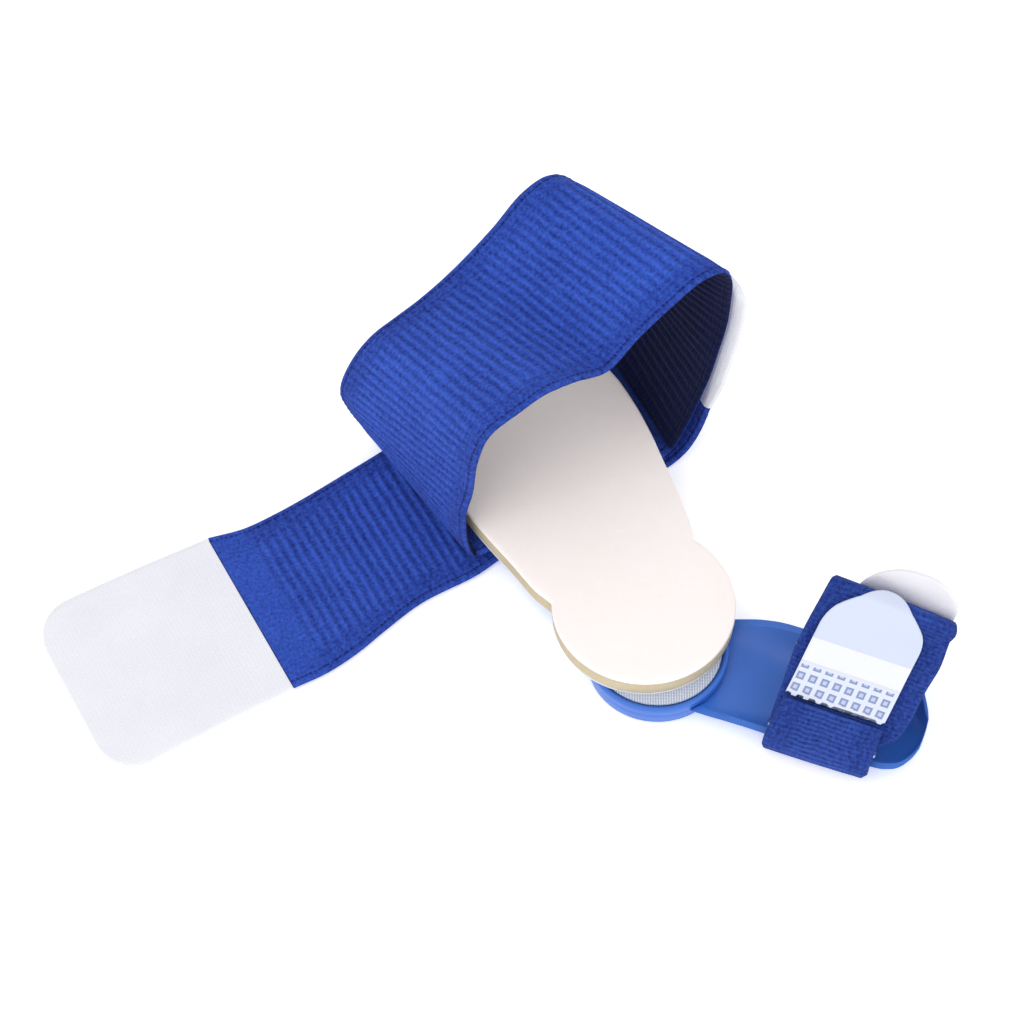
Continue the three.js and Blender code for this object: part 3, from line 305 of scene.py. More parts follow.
class Shader:
    """Small builder for one node material."""

    def __init__(self, finish: Finish) -> None:
        """Starts a material with a Principled shader.

        Args:
            finish: the Finish to take name, roughness, sheen and coat from.
        """
        self.finish = finish
        self.material = bpy.data.materials.new(finish.name)
        self.material.use_nodes = True
        self.tree = self.material.node_tree
        self.surface = self.tree.nodes["Principled BSDF"]
        self.surface.inputs["Roughness"].default_value = finish.roughness
        self.surface.inputs["Specular IOR Level"].default_value = finish.specular
        self.surface.inputs["Sheen Weight"].default_value = finish.sheen
        self.surface.inputs["Sheen Roughness"].default_value = 0.55
        self.surface.inputs["Coat Weight"].default_value = finish.coat
        self.surface.inputs["Coat Roughness"].default_value = 0.25

    def add(self, kind: str, settings: dict | None = None, **inputs: object) -> bpy.types.Node:
        """Adds a node with its settings and links.

        Args:
            kind: the node type without its prefix.
            settings: attributes set on the node.
            inputs: socket values or source sockets; i0, i1, i2 address a socket by index.

        Returns:
            The new node.
        """
        node = self.tree.nodes.new("ShaderNode" + kind)
        for key, value in (settings or {}).items():
            setattr(node, key, value)
        for key, value in inputs.items():
            index = int(key[1:]) if key[0] == "i" and key[1:].isdigit() else key.replace("_", " ")
            if isinstance(value, bpy.types.NodeSocket):
                self.tree.links.new(value, node.inputs[index])
            else:
                node.inputs[index].default_value = value
        return node

    def math(self, operation: str, first: Value, second: Value = 0.0, third: Value = 0.0,
             clamp: bool = False) -> Socket:
        """Adds a math node.

        Args:
            operation: name of the operation.
            first: first value or socket.
            second: second value or socket.
            third: third value or socket.
            clamp: whether the result is clamped to 0..1.

        Returns:
            The result socket.
        """
        settings = {"operation": operation, "use_clamp": clamp}
        return self.add("Math", settings, i0=first, i1=second, i2=third).outputs[0]

    def wave(self, value: Value, pitch: float) -> Socket:
        """Makes a smooth 0..1 wave of a value.

        Args:
            value: socket in millimetres.
            pitch: length of one wave in millimetres.

        Returns:
            The wave socket, 0 where value is a whole number of pitches.
        """
        turn = self.math("COSINE", self.math("MULTIPLY", value, 2 * math.pi / pitch))
        return self.math("MULTIPLY_ADD", turn, -0.5, 0.5)

    def between(self, value: Value, low: float, high: float, soft: float) -> Socket:
        """Makes a soft step window.

        Args:
            value: socket in millimetres.
            low: lower edge.
            high: upper edge.
            soft: width of the soft step.

        Returns:
            Socket that is 1 between low and high.
        """
        rise = self.add("MapRange", {"interpolation_type": "SMOOTHSTEP"}, Value=value,
                        From_Min=low - soft, From_Max=low + soft).outputs[0]
        fall = self.add("MapRange", {"interpolation_type": "SMOOTHSTEP"}, Value=value,
                        From_Min=high - soft, From_Max=high + soft, To_Min=1.0, To_Max=0.0).outputs[0]
        return self.math("MULTIPLY", rise, fall)

    def noise(self, scale: float, detail: float = 3.0, roughness: float = 0.6) -> Socket:
        """Adds noise in object space.

        Args:
            scale: waves per metre.
            detail: octaves.
            roughness: weight of the fine octaves.

        Returns:
            The value socket.
        """
        vector = self.add("TexCoord").outputs["Object"]
        return self.add("TexNoise", None, Vector=vector, Scale=scale, Detail=detail,
                        Roughness=roughness).outputs[0]

    def sheet(self) -> tuple[Socket, Socket]:
        """Reads the piece's own sheet coordinates.

        Returns:
            Two sockets in millimetres: along the piece, and across it.
        """
        uv = self.add("UVMap", {"uv_map": "sheet"}).outputs[0]
        parts = self.add("SeparateXYZ", None, Vector=uv).outputs
        return self.math("MULTIPLY", parts[0], SHEET_UNIT), self.math("MULTIPLY", parts[1], SHEET_UNIT)

    def mix(self, factor: Value, first: Socket | str, second: Socket | str) -> Socket:
        """Mixes two colours.

        Args:
            factor: socket or value.
            first: colour at 0, as a socket or hexadecimal digits.
            second: colour at 1, as a socket or hexadecimal digits.

        Returns:
            The colour socket.
        """
        node = self.tree.nodes.new("ShaderNodeMix")
        node.data_type = "RGBA"
        for socket, value in ((node.inputs[6], first), (node.inputs[7], second)):
            if isinstance(value, str):
                socket.default_value = linear(value)
            else:
                self.tree.links.new(value, socket)
        if isinstance(factor, bpy.types.NodeSocket):
            self.tree.links.new(factor, node.inputs[0])
        else:
            node.inputs[0].default_value = factor
        return node.outputs[2]

    def finish_with(self, colour: Socket, height: Socket | None = None, depth: float = 0.0001,
                    strength: float = 0.6, radius: float = 0.0) -> Material:
        """Links colour and bump to the shader.

        Args:
            colour: colour socket.
            height: optional height socket, 0..1.
            depth: height of the bump in metres.
            strength: strength of the bump.
            radius: optional rounding of sharp edges in metres.

        Returns:
            The finished material.
        """
        self.tree.links.new(colour, self.surface.inputs["Base Color"])
        normal = None
        if radius:
            normal = self.add("Bevel", {"samples": 4}, Radius=radius).outputs[0]
        if height is not None:
            bump = self.add("Bump", None, Height=height, Distance=depth, Strength=strength)
            if normal is not None:
                self.tree.links.new(normal, bump.inputs["Normal"])
            normal = bump.outputs[0]
        if normal is not None:
            self.tree.links.new(normal, self.surface.inputs["Normal"])
        return self.material


def knit_material(finish: Finish, pitch: float, sewn: float, plain_from: float) -> Material:
    """Ribbed knit: painted shade in the valleys and painted light on the ribs of small stitches, fuzz, and
    painted shade on the inner face inside the loop.

    Args:
        finish: the Finish.
        pitch: rib pitch in millimetres.
        sewn: 1 where the hems are sewn, 0 where they are not.
        plain_from: length along the band, in millimetres, where its ribs end.

    Returns:
        The material.
    """
    s = Shader(finish)
    along, hem = s.sheet()
    plain = s.between(along, plain_from, plain_from + 60, 1.5)
    wobble = s.math("MULTIPLY", s.math("SUBTRACT", s.noise(140, 3), 0.5), 1.6)
    rib = s.wave(s.math("ADD", along, wobble), pitch)
    dashes = s.add("CombineXYZ", None, X=s.math("MULTIPLY", along, 1.1),
                   Y=s.math("MULTIPLY", hem, 0.75)).outputs[0]
    dash = s.add("TexNoise", None, Vector=dashes, Scale=1.0, Detail=3.0, Roughness=0.65).outputs[0]
    stitch = s.wave(s.math("ADD", hem, s.math("MULTIPLY", wobble, 1.2)), 1.5)
    fuzz = s.noise(finish.grain, 5, 0.75)
    patch = s.noise(60, 3)
    inner = s.math("SUBTRACT", 1.0, s.between(hem, -2.0, 6.5, 1.8))
    strength = s.math("MULTIPLY_ADD", inner, 0.65, 0.3)
    strength = s.math("MULTIPLY", strength, s.math("SUBTRACT", 1.0, plain))
    body = s.math("ADD", s.math("MULTIPLY", s.math("MULTIPLY", rib, strength), 0.5),
                  s.math("ADD", s.math("MULTIPLY", dash, 0.85), s.math("MULTIPLY", stitch, 0.1)))
    body = s.math("ADD", body, s.math("MULTIPLY", plain, 0.3))
    seam = s.math("MULTIPLY", s.between(hem, 1.45, 1.95, 0.3),
                  s.math("MULTIPLY_ADD", s.wave(along, 1.3), 0.7, 0.3))
    seam = s.math("MULTIPLY", seam, sewn)
    height = s.math("SUBTRACT", s.math("ADD", body, s.math("MULTIPLY", fuzz, 0.7)),
                    s.math("MULTIPLY", seam, 0.6))
    # Painted shade and light: the colour follows the rib relief, darker in the valleys and lighter on the
    # ribs, over random dashes, fuzz and patches.
    lit = s.math("MULTIPLY", s.math("SUBTRACT", body, 0.27), 0.72)
    lit = s.math("ADD", lit, s.math("MULTIPLY", s.math("SUBTRACT", fuzz, 0.5), 1.5))
    lit = s.math("SUBTRACT", lit, s.math("MULTIPLY", seam, 0.4))
    lit = s.math("ADD", lit, s.math("MULTIPLY_ADD", patch, 0.45, -0.02), clamp=True)
    colour = s.mix(lit, finish.dark, finish.colour)
    # Painted shade: the inner face inside the loop is darkened to a near-black navy by the weight set on the
    # band.
    inner_shade = s.add("Attribute", {"attribute_name": "inner_shade"}).outputs["Fac"]
    colour = s.mix(s.math("MULTIPLY", inner_shade, 0.96), colour, INNER_SHADE_COLOUR)
    return s.finish_with(colour, height, 0.0008, 0.85)


def tape_material(finish: Finish, pitch: float) -> Material:
    """Hook tape: fine rows of hooks with a woven ground.

    Args:
        finish: the Finish.
        pitch: row pitch in millimetres.

    Returns:
        The material.
    """
    s = Shader(finish)
    along, across = s.sheet()
    rows = s.math("MULTIPLY", s.wave(along, pitch), s.wave(across, pitch * 0.8))
    grain = s.noise(finish.grain, 4, 0.7)
    patch = s.noise(45, 3)
    height = s.math("ADD", s.math("MULTIPLY", rows, 0.6), s.math("MULTIPLY", grain, 0.6))
    lit = s.math("ADD", s.math("MULTIPLY", height, 0.45), s.math("MULTIPLY", patch, 0.65), clamp=True)
    return s.finish_with(s.mix(lit, finish.dark, finish.colour), height, 0.0003, 0.45)


def grid_material(finish: Finish) -> Material:
    """Front toe tab: welded squares, a smooth stripe and a pale round end.

    Args:
        finish: the Finish.

    Returns:
        The material.
    """
    s = Shader(finish)
    along, across = s.sheet()
    from_middle = []
    for place in (s.math("SUBTRACT", along, 0.5), across):
        cell = s.math("FRACT", s.math("DIVIDE", place, TOE_GRID_CELL))
        from_middle.append(s.math("ABSOLUTE", s.math("SUBTRACT", cell, 0.5)))
    far = s.math("MAXIMUM", *from_middle)
    ring = s.between(far, 0.16, 0.31, 0.035)
    fade = s.add("MapRange", None, Value=far, From_Min=0.12, From_Max=0.2).outputs[0]
    core = s.math("SUBTRACT", 1.0, fade)
    zone = s.between(along, 0.3, 8.5, 0.12)
    stripe = s.between(along, 8.6, 16.0, 0.15)
    # Painted shade: a darker line along the crease at the stripe's edge.
    crease_shade = s.between(along, 8.8, 9.6, 0.3)
    grain = s.noise(finish.grain, 4, 0.7)
    ground = s.mix(s.math("MULTIPLY_ADD", grain, 0.5, 0.3), "C7D0E6", "CFD7EB")
    ground = s.mix(stripe, ground, "E4E6F1")
    ground = s.mix(s.math("MULTIPLY", crease_shade, 0.5), ground, "BFC4D5")
    ground = s.mix(s.math("MULTIPLY", zone, 0.85), ground, "D6DDEC")
    ground = s.mix(s.math("MULTIPLY", s.math("MULTIPLY", ring, zone), 0.95), ground, "7787BC")
    ground = s.mix(s.math("MULTIPLY", s.math("MULTIPLY", core, zone), 0.8), ground, "B3BEDD")
    height = s.math("SUBTRACT", s.math("MULTIPLY", grain, 0.2),
                    s.math("MULTIPLY", s.math("MULTIPLY", ring, zone), 0.7))
    height = s.math("ADD", height, s.math("MULTIPLY", stripe, 0.35))
    return s.finish_with(ground, height, 0.0004, 0.6)


def speckle_material(finish: Finish, depth: float, strength: float, scale: float = 60.0,
                     radius: float = 0.0) -> Material:
    """Plain material with fine grain, soft colour drift and bump.

    Args:
        finish: the Finish.
        depth: depth of the bump in metres.
        strength: strength of the bump.
        scale: scale of the colour drift, in waves per metre.
        radius: rounding of sharp edges in metres.

    Returns:
        The material.
    """
    s = Shader(finish)
    grain = s.noise(finish.grain, 5, 0.72)
    drift = s.noise(scale, 3)
    lit = s.math("ADD", s.math("MULTIPLY", grain, 0.5), s.math("MULTIPLY", drift, 0.75), clamp=True)
    return s.finish_with(s.mix(lit, finish.dark, finish.colour), grain, depth, strength, radius)


def disc_material(finish: Finish) -> Material:
    """Knitted disc: fine straight columns of loops.

    Args:
        finish: the Finish.

    Returns:
        The material.
    """
    s = Shader(finish)
    place = s.add("SeparateXYZ", None, Vector=s.add("TexCoord").outputs["Object"]).outputs
    x = s.math("MULTIPLY", place[0], 1000.0)
    y = s.math("MULTIPLY", place[1], 1000.0)
    column = s.wave(x, 0.68)
    loops = s.math("MULTIPLY", column, s.math("MULTIPLY_ADD", s.wave(y, 0.9), 0.6, 0.4))
    return s.finish_with(s.mix(loops, finish.dark, finish.colour), loops, 0.0003, 0.7)


def steel_material(finish: Finish) -> Material:
    """Plain turned steel.

    Args:
        finish: the Finish.

    Returns:
        The material.
    """
    material = speckle_material(finish, 0.00002, 0.3)
    material.node_tree.nodes["Principled BSDF"].inputs["Metallic"].default_value = 1.0
    return material


def spline(points: Array, shares: Array) -> Array:
    """Centripetal curve through points, with ends carried straight on.

    Args:
        points: array of shape (n, dims).
        shares: positions from 0 to 1.

    Returns:
        Array of the curve's points.
    """
    points = np.asarray(points, float)
    shares = np.asarray(shares, float)
    ext = np.vstack([2 * points[0] - points[1], points, 2 * points[-1] - points[-2]])
    place = np.clip(shares, 0, 1) * (len(points) - 1)
    k = np.clip(np.floor(place).astype(int), 0, len(points) - 2)
    t = (place - k)[:, None]
    p0, p1, p2, p3 = (ext[k + i] for i in range(4))
    d0, d1, d2 = (np.maximum(np.linalg.norm(b - a, axis=1), 1e-8)[:, None] ** 0.5
                  for a, b in ((p0, p1), (p1, p2), (p2, p3)))
    m1 = ((p1 - p0) / d0 - (p2 - p0) / (d0 + d1) + (p2 - p1) / d1) * d1
    m2 = ((p2 - p1) / d1 - (p3 - p1) / (d1 + d2) + (p3 - p2) / d2) * d1
    return p1 + m1 * t + (3 * (p2 - p1) - 2 * m1 - m2) * t ** 2 + (2 * (p1 - p2) + m1 + m2) * t ** 3


def direction(points: Array, shares: Array) -> Array:
    """Difference of the curve just after and just before each share.

    Args:
        points: array of shape (n, dims).
        shares: positions from 0 to 1.

    Returns:
        Array of unscaled directions.
    """
    ahead = spline(points, np.minimum(1, shares + CURVE_STEP))
    return ahead - spline(points, np.maximum(0, shares - CURVE_STEP))


def unit(vectors: Array) -> Array:
    """Scales vectors to length one.

    Args:
        vectors: array with the components last.

    Returns:
        The unit vectors.
    """
    return vectors / np.maximum(np.linalg.norm(vectors, axis=-1, keepdims=True), 1e-12)


@dataclass
class Ribbon:
    """Even stations along a pair of hems."""

    near: np.ndarray
    far: np.ndarray
    near_way: np.ndarray
    far_way: np.ndarray
    reach: np.ndarray
    place: np.ndarray
    total: float

    @classmethod
    def along(cls, rows: Array, spacing: float) -> "Ribbon":
        """Places stations evenly along the line midway between two hems.

        Args:
            rows: array of shape (n, 2, 3) with the near and far hem of each row.
            spacing: distance between stations in millimetres.

        Returns:
            The ribbon.
        """
        rows = np.asarray(rows, float)
        fine = np.linspace(0, 1, len(rows) * 60 + 1)
        middle = (spline(rows[:, 0], fine) + spline(rows[:, 1], fine)) / 2
        lengths = np.concatenate([[0], np.cumsum(np.linalg.norm(np.diff(middle, axis=0), axis=1))])
        count = max(2, round(lengths[-1] / spacing))
        reach = np.linspace(0, lengths[-1], count + 1)
        share = np.interp(reach, lengths, fine)
        ways = [unit(direction(rows[:, i], share)) for i in (0, 1)]
        place = share * (len(rows) - 1)
        return cls(spline(rows[:, 0], share), spline(rows[:, 1], share), *ways, reach, place, lengths[-1])

    def cut(self, keep: Array) -> "Ribbon":
        """Keeps some of the stations.

        Args:
            keep: mask of stations.

        Returns:
            The shorter ribbon.
        """
        return Ribbon(self.near[keep], self.far[keep], self.near_way[keep], self.far_way[keep],
                      self.reach[keep], self.place[keep], self.total)

    def face(self, shares: Array, lift: Array | float) -> Array:
        """Points and normals at shares of the width, lifted off the middle.

        Args:
            shares: array (m,) or (n, m) of shares of the width.
            lift: array (n, m) or number, in millimetres along the normal.

        Returns:
            Array (n, m, 3) of points.
        """
        shares = np.broadcast_to(shares, (len(self.near), np.shape(shares)[-1]))[..., None]
        point = self.near[:, None] * (1 - shares) + self.far[:, None] * shares
        way = self.near_way[:, None] * (1 - shares) + self.far_way[:, None] * shares
        ruling = unit(self.far - self.near)[:, None]
        normal = unit(np.cross(way, np.broadcast_to(ruling, way.shape)))
        return point + normal * np.broadcast_to(lift, shares.shape[:2])[..., None]


def turn(points: Array, yaw: float) -> Array:
    """Turns points about the hinge axis and scales them to metres.

    Args:
        points: array of points in millimetres.
        yaw: angle in radians.

    Returns:
        Array of points in metres.
    """
    c, s = math.cos(yaw), math.sin(yaw)
    matrix = np.array([[c, s, 0], [-s, c, 0], [0, 0, 1]])
    return np.asarray(points, float) @ matrix * MM


def make_object(name: str, vertices: Array | list, faces: list, material: Material,
                uv: Array | None = None, sharp: float | None = None) -> Piece:
    """Makes a mesh object with smooth shading.

    Args:
        name: object name.
        vertices: array of points in metres.
        faces: list or array of faces.
        material: material of the object.
        uv: optional array of sheet coordinates per vertex.
        sharp: optional angle in radians above which edges stay sharp.

    Returns:
        The object.
    """
    mesh = bpy.data.meshes.new(name)
    faces = faces.tolist() if isinstance(faces, np.ndarray) else faces
    mesh.from_pydata(np.asarray(vertices, float).tolist(), [], faces)
    mesh.polygons.foreach_set("use_smooth", np.ones(len(mesh.polygons), bool))
    if uv is not None:
        layer = mesh.uv_layers.new(name="sheet")
        corner = np.zeros(len(mesh.loops), np.int32)
        mesh.loops.foreach_get("vertex_index", corner)
        layer.data.foreach_set("uv", np.asarray(uv, np.float32)[corner].ravel())
    mesh.materials.append(material)
    mesh.update()
    if sharp is not None:
        mesh.set_sharp_from_angle(angle=sharp)
    piece = bpy.data.objects.new(name, mesh)
    bpy.context.scene.collection.objects.link(piece)
    return piece


def tube_faces(rings: int, size: int) -> list[list[int]]:
    """Faces of a closed body through rings of points, with both ends capped.

    Args:
        rings: number of rings.
        size: number of points in a ring.

    Returns:
        List of faces.
    """
    a = (np.arange(rings - 1)[:, None] * size + np.arange(size)).ravel()
    b = (np.arange(rings - 1)[:, None] * size + (np.arange(size) + 1) % size).ravel()
    faces = np.stack([a, a + size, b + size, b], 1).tolist()
    faces.append(list(range(size)))
    faces.append(list(range(rings * size - 1, (rings - 1) * size - 1, -1)))
    return faces


def loft(name: str, rings: Array, yaw: float, material: Material, uv: Array | None = None,
         sharp: float | None = None) -> Piece:
    """Makes a closed body through rings.

    Args:
        name: object name.
        rings: array (n, size, 3) in millimetres.
        yaw: turn about the hinge axis.
        material: material of the body.
        uv: optional array (n, size, 2).
        sharp: optional sharp angle.

    Returns:
        The object.
    """
    count, size = rings.shape[:2]
    flat = None if uv is None else uv.reshape(-1, 2)
    points = turn(rings.reshape(-1, 3), yaw)
    piece = make_object(name, points, tube_faces(count, size), material, flat, sharp)
    if signed_volume(piece.data) < 0:
        piece.data.flip_normals()
    return piece


def signed_volume(mesh: bpy.types.Mesh) -> float:
    """Volume of a closed mesh, negative where its faces look inward.

    Args:
        mesh: the mesh.

    Returns:
        The signed volume.
    """
    mesh.calc_loop_triangles()
    co = np.zeros(len(mesh.vertices) * 3)
    mesh.vertices.foreach_get("co", co)
    index = np.zeros(len(mesh.loop_triangles) * 3, np.int32)
    mesh.loop_triangles.foreach_get("vertices", index)
    p = co.reshape(-1, 3)[index.reshape(-1, 3)]
    return float(np.einsum("ij,ij->i", p[:, 0], np.cross(p[:, 1], p[:, 2])).sum() / 6)


@dataclass(frozen=True)
class KnitBand:
    """Ribbed knit band with folded hems, a stitch line and soft ribs."""

    name: str
    node: str
    body: Body
    yaw: float
    pitch: float
    smooth: float
    spacing: float
    columns: int
    # span of row places whose inner face gets painted shade
    inside: tuple
    seam: float
    rib: float
    plain_from: float

    def build(self, rows: Array, material: Material) -> Piece:
        """Makes the band.

        Args:
            rows: array (n, 2, 3) of hems.
            material: knit material.

        Returns:
            The object.
        """
        ribbon = Ribbon.along(rows, self.spacing)
        pitch = ribbon.total / max(1, round(ribbon.total / self.pitch))
        width = np.linalg.norm(ribbon.far - ribbon.near, axis=1)[:, None]
        share = 0.5 - 0.5 * np.cos(np.linspace(0, np.pi, self.columns))
        share = 0.35 * share + 0.65 * np.linspace(0, 1, self.columns)
        from_hem = np.minimum(share, 1 - share)[None, :] * width
        left = np.maximum(0, ribbon.total - ribbon.reach - self.smooth)
        fade = np.minimum(1, np.minimum(ribbon.reach, left) / self.pitch)
        wave = 0.5 - 0.5 * np.cos(2 * np.pi * ribbon.reach / pitch)
        hem_fade = np.clip((from_hem - 2.2) / 3.5, 0, 1)
        rib = (wave * fade)[:, None] * self.rib * RIB_HEIGHT * 1.25 * (0.35 + 0.65 * hem_fade)
        edge = np.sqrt(np.clip(1 - (1 - np.clip(from_hem / 1.1, 0, 1)) ** 2, 0, 1))
        fold = 0.12 * self.seam * np.exp(-((from_hem - 0.9) / 0.7) ** 2)
        stitch = -0.12 * self.seam * np.exp(-((from_hem - 1.7) / 0.35) ** 2)
        half = (BAND_THICKNESS / 2 - 0.1) * (0.12 + 0.88 * edge) + rib * edge + fold + stitch
        reach = ribbon.reach[:, None]
        uneven = 0.1 * np.sin(reach * 0.55 + share * 5) + 0.12 * np.sin(reach * 0.21 + share * 9)
        half = half + 0.25 * uneven * edge
        top = ribbon.face(share, half)
        bottom = ribbon.face(share, -half)
        rings = np.concatenate([top, bottom[:, ::-1]], axis=1)
        along = np.broadcast_to(ribbon.reach[:, None], from_hem.shape)
        sheet = np.stack([along, from_hem], -1)
        uv = np.concatenate([sheet, sheet[:, ::-1]], axis=1) / SHEET_UNIT
        piece = loft(self.name, rings, self.yaw, material, uv)
        # Painted shade: rows inside the loop get a weight on their inner face that darkens the knit's colour.
        inner = np.zeros(rings.shape[:2], np.float32)
        first, last = self.inside
        inner_shade_weight = np.clip((ribbon.place - first) * 2, 0, 1) * np.clip((last - ribbon.place) * 2, 0, 1)
        inner[:, :share.size] = inner_shade_weight[:, None]
        piece.data.attributes.new("inner_shade", "FLOAT", "POINT").data.foreach_set("value", inner.ravel())
        return piece


@dataclass(frozen=True)
class TapeTab:
    """Thin hook tab with a rounded end."""

    name: str
    node: str
    body: Body
    yaw: float
    thickness: float
    end: float
    least: float
    steps: int
    columns: int

    def build(self, rows: Array, material: Material, saw: float = 0.0) -> Piece:
        """Makes the tab.

        Args:
            rows: array (n, 2, 3) of hems from the joint to the end.
            material: tape material.
            saw: depth of the saw-tooth edge at the joint.

        Returns:
            The object.
        """
        plain = np.linspace(0, 1 - self.end, self.steps, endpoint=False)
        curved = 1 - self.end + self.end * np.sin(np.linspace(0, np.pi / 2, self.steps // 2 + 8))
        t = np.concatenate([plain, curved])
        near, far = spline(rows[:, 0], t), spline(rows[:, 1], t)
        way = unit(sum(direction(rows[:, i], t) for i in (0, 1)))
        ruling = unit(far - near)
        normal = unit(np.cross(way, ruling))
        into = np.maximum(0, (t - (1 - self.end)) / self.end)
        wide = self.least + (1 - self.least) * np.sqrt(np.maximum(0, 1 - into ** 2))
        share = np.linspace(-0.5, 0.5, self.columns)
        place = 0.5 + share[None, :] * wide[:, None]
        length = np.concatenate([[0], np.cumsum(np.linalg.norm(np.diff((near + far) / 2, axis=0), axis=1))])
        width = np.linalg.norm(far - near, axis=1)
        point = near[:, None] * (1 - place[..., None]) + far[:, None] * place[..., None]
        if saw:
            tooth = saw * np.sign(np.sin(place * width[:, None] * 2 * np.pi / TOE_GRID_CELL))
            point = point + way[:, None] * (tooth * np.exp(-length[:, None] / 0.8))[..., None]
        rim = np.minimum(0.5 - np.abs(share)[None, :], 0.5) * wide[:, None] * width[:, None]
        rim = np.minimum(rim, (length[-1] - length)[:, None] + 0.15)
        edge = 0.45 + 0.55 * np.sqrt(np.clip(1 - (1 - np.clip(rim / 0.7, 0, 1)) ** 2, 0, 1))
        lift = (self.thickness / 2 * edge)[..., None] * normal[:, None]
        rings = np.concatenate([point + lift, (point - lift)[:, ::-1]], axis=1)
        sheet = np.stack([np.broadcast_to(length[:, None], place.shape), place * width[:, None]], -1)
        uv = np.concatenate([sheet, sheet[:, ::-1]], axis=1) / SHEET_UNIT
        return loft(self.name, rings, self.yaw, material, uv, math.radians(50))


def loop_point(shares: Point) -> Point:
    """Hem point of the midfoot strap: shares of the loop's span, the band and the loop's height."""
    across, along, up = shares
    return (across * LOOP_SPAN, MIDFOOT_START + along * MIDFOOT_BAND, up * LOOP_HEIGHT)


def level_row(across: float, up: float, near: float, far: float) -> Row:
    """Level row beside the arm, with its hems at shares of the band."""
    return [(across, MIDFOOT_START + share * MIDFOOT_BAND, up) for share in (near, far)]


def midfoot_rows() -> Array:
    """Rows of the midfoot strap, from the closed tab's joint to the open tab's joint.

    Returns:
        Array (n, 2, 3).
    """
    half_arm = ARM_WIDTH / 2
    middle = ARM_HEIGHT + ARM_THICKNESS / 2
    radius = ARM_THICKNESS / 2 + SEAT_GAP + BAND_HALF
    floor_level = BAND_HALF + 0.05
    over, under = middle + radius, middle - radius

    def bar(side: int, near: float, far: float) -> list[Row]:
        """Rows round the arm's bar on one side, from over it to under it."""
        rows = []
        for degrees in (90, 55, 20, -20, -55, -90):
            angle = math.radians(degrees)
            across = side * (half_arm - BAR_WIDTH + SEAT_GAP - radius * math.cos(angle))
            rows.append(level_row(across, middle + radius * math.sin(angle), near, far))
        return rows

    pairs = [[loop_point(p) for p in row] for row in LOOP_FOLDS.values()]
    outer = [[loop_point(p) for p in row] for row in OUTER_FOLDS]
    tail = [level_row(-(half_arm - BAR_WIDTH / 2) - reach * TAIL_LENGTH,
                      floor_level + (under - floor_level) * max(0, 1 - reach * 5), near, far)
            for reach, near, far in TAIL_ROWS]
    return np.array([
        *outer,
        level_row(half_arm * 1.68, floor_level + 0.2, 0.01, 1.008),
        level_row(half_arm * 1.3, under, 0.005, 1.005),
        *bar(1, 0.005, 1.005)[::-1],
        level_row(half_arm * 1.2, over, 0.005, 1.005),
        level_row(half_arm * 1.5, over + 0.1, 0.01, 1.008),
        *pairs[::-1],
        level_row(-half_arm * 1.24, over - 1.1, -0.06, 0.94),
        level_row(-half_arm * 1.02, over - 0.05, -0.068, 0.925),
        *bar(-1, -0.07, 0.915),
        *tail,
    ])


def open_tab_rows() -> Array:
    """Rows of the open tab, flat on the surface.

    Returns:
        Array (n, 2, 3).
    """
    joint = -(ARM_WIDTH / 2 - BAR_WIDTH / 2) - TAIL_LENGTH - SEAT_GAP
    _, near, far = TAIL_ROWS[-1]
    level = MIDFOOT_TAB_THICKNESS / 2 + 0.1
    return np.array([
        level_row(joint, level, near, far),
        level_row(joint - MIDFOOT_TAB_LENGTH * 0.5, level, near - 0.02, far + 0.005),
        level_row(joint - MIDFOOT_TAB_LENGTH, level, near - 0.065, far - 0.005),
    ])


def closed_tab_rows() -> Array:
    """Rows of the closed tab on the back wall of the loop.

    Returns:
        Array (n, 2, 3).
    """
    folds = list(LOOP_FOLDS)
    folds = folds[:folds.index("back low") + 1]
    wall = np.array([[loop_point(p) for p in LOOP_FOLDS[fold]] for fold in folds])
    ribbon = Ribbon.along(wall, 2.5)
    held = ribbon.cut(ribbon.total - ribbon.reach <= CLOSED_TAB_LENGTH)
    middle = BAND_HALF + TAB_GAP + (MIDFOOT_TAB_THICKNESS + CLOSED_TAB_SWELL) / 2
    seat = held.face(np.array([-(CLOSED_TAB_REACH + CLOSED_TAB_SWELL) / MIDFOOT_BAND, 1.0]), middle)
    foot = np.array([loop_point(p) for p in OUTER_FOLDS[0]])
    foot = foot + unit(seat[-1] - foot) * TAB_GAP
    return np.concatenate([foot[None], seat[::-1]])


def toe_row(across: float, up: float, left: float, right: float, drop: float) -> Row:
    """Row of the toe strap: its far hem lies lower by the share drop."""
    place = TOE_OFFSET + across * TOE_WIDTH
    return [(left * TOE_LENGTH, place, up * TOE_LOOP_HEIGHT),
            (right * TOE_LENGTH, place, (up - drop) * TOE_LOOP_HEIGHT)]


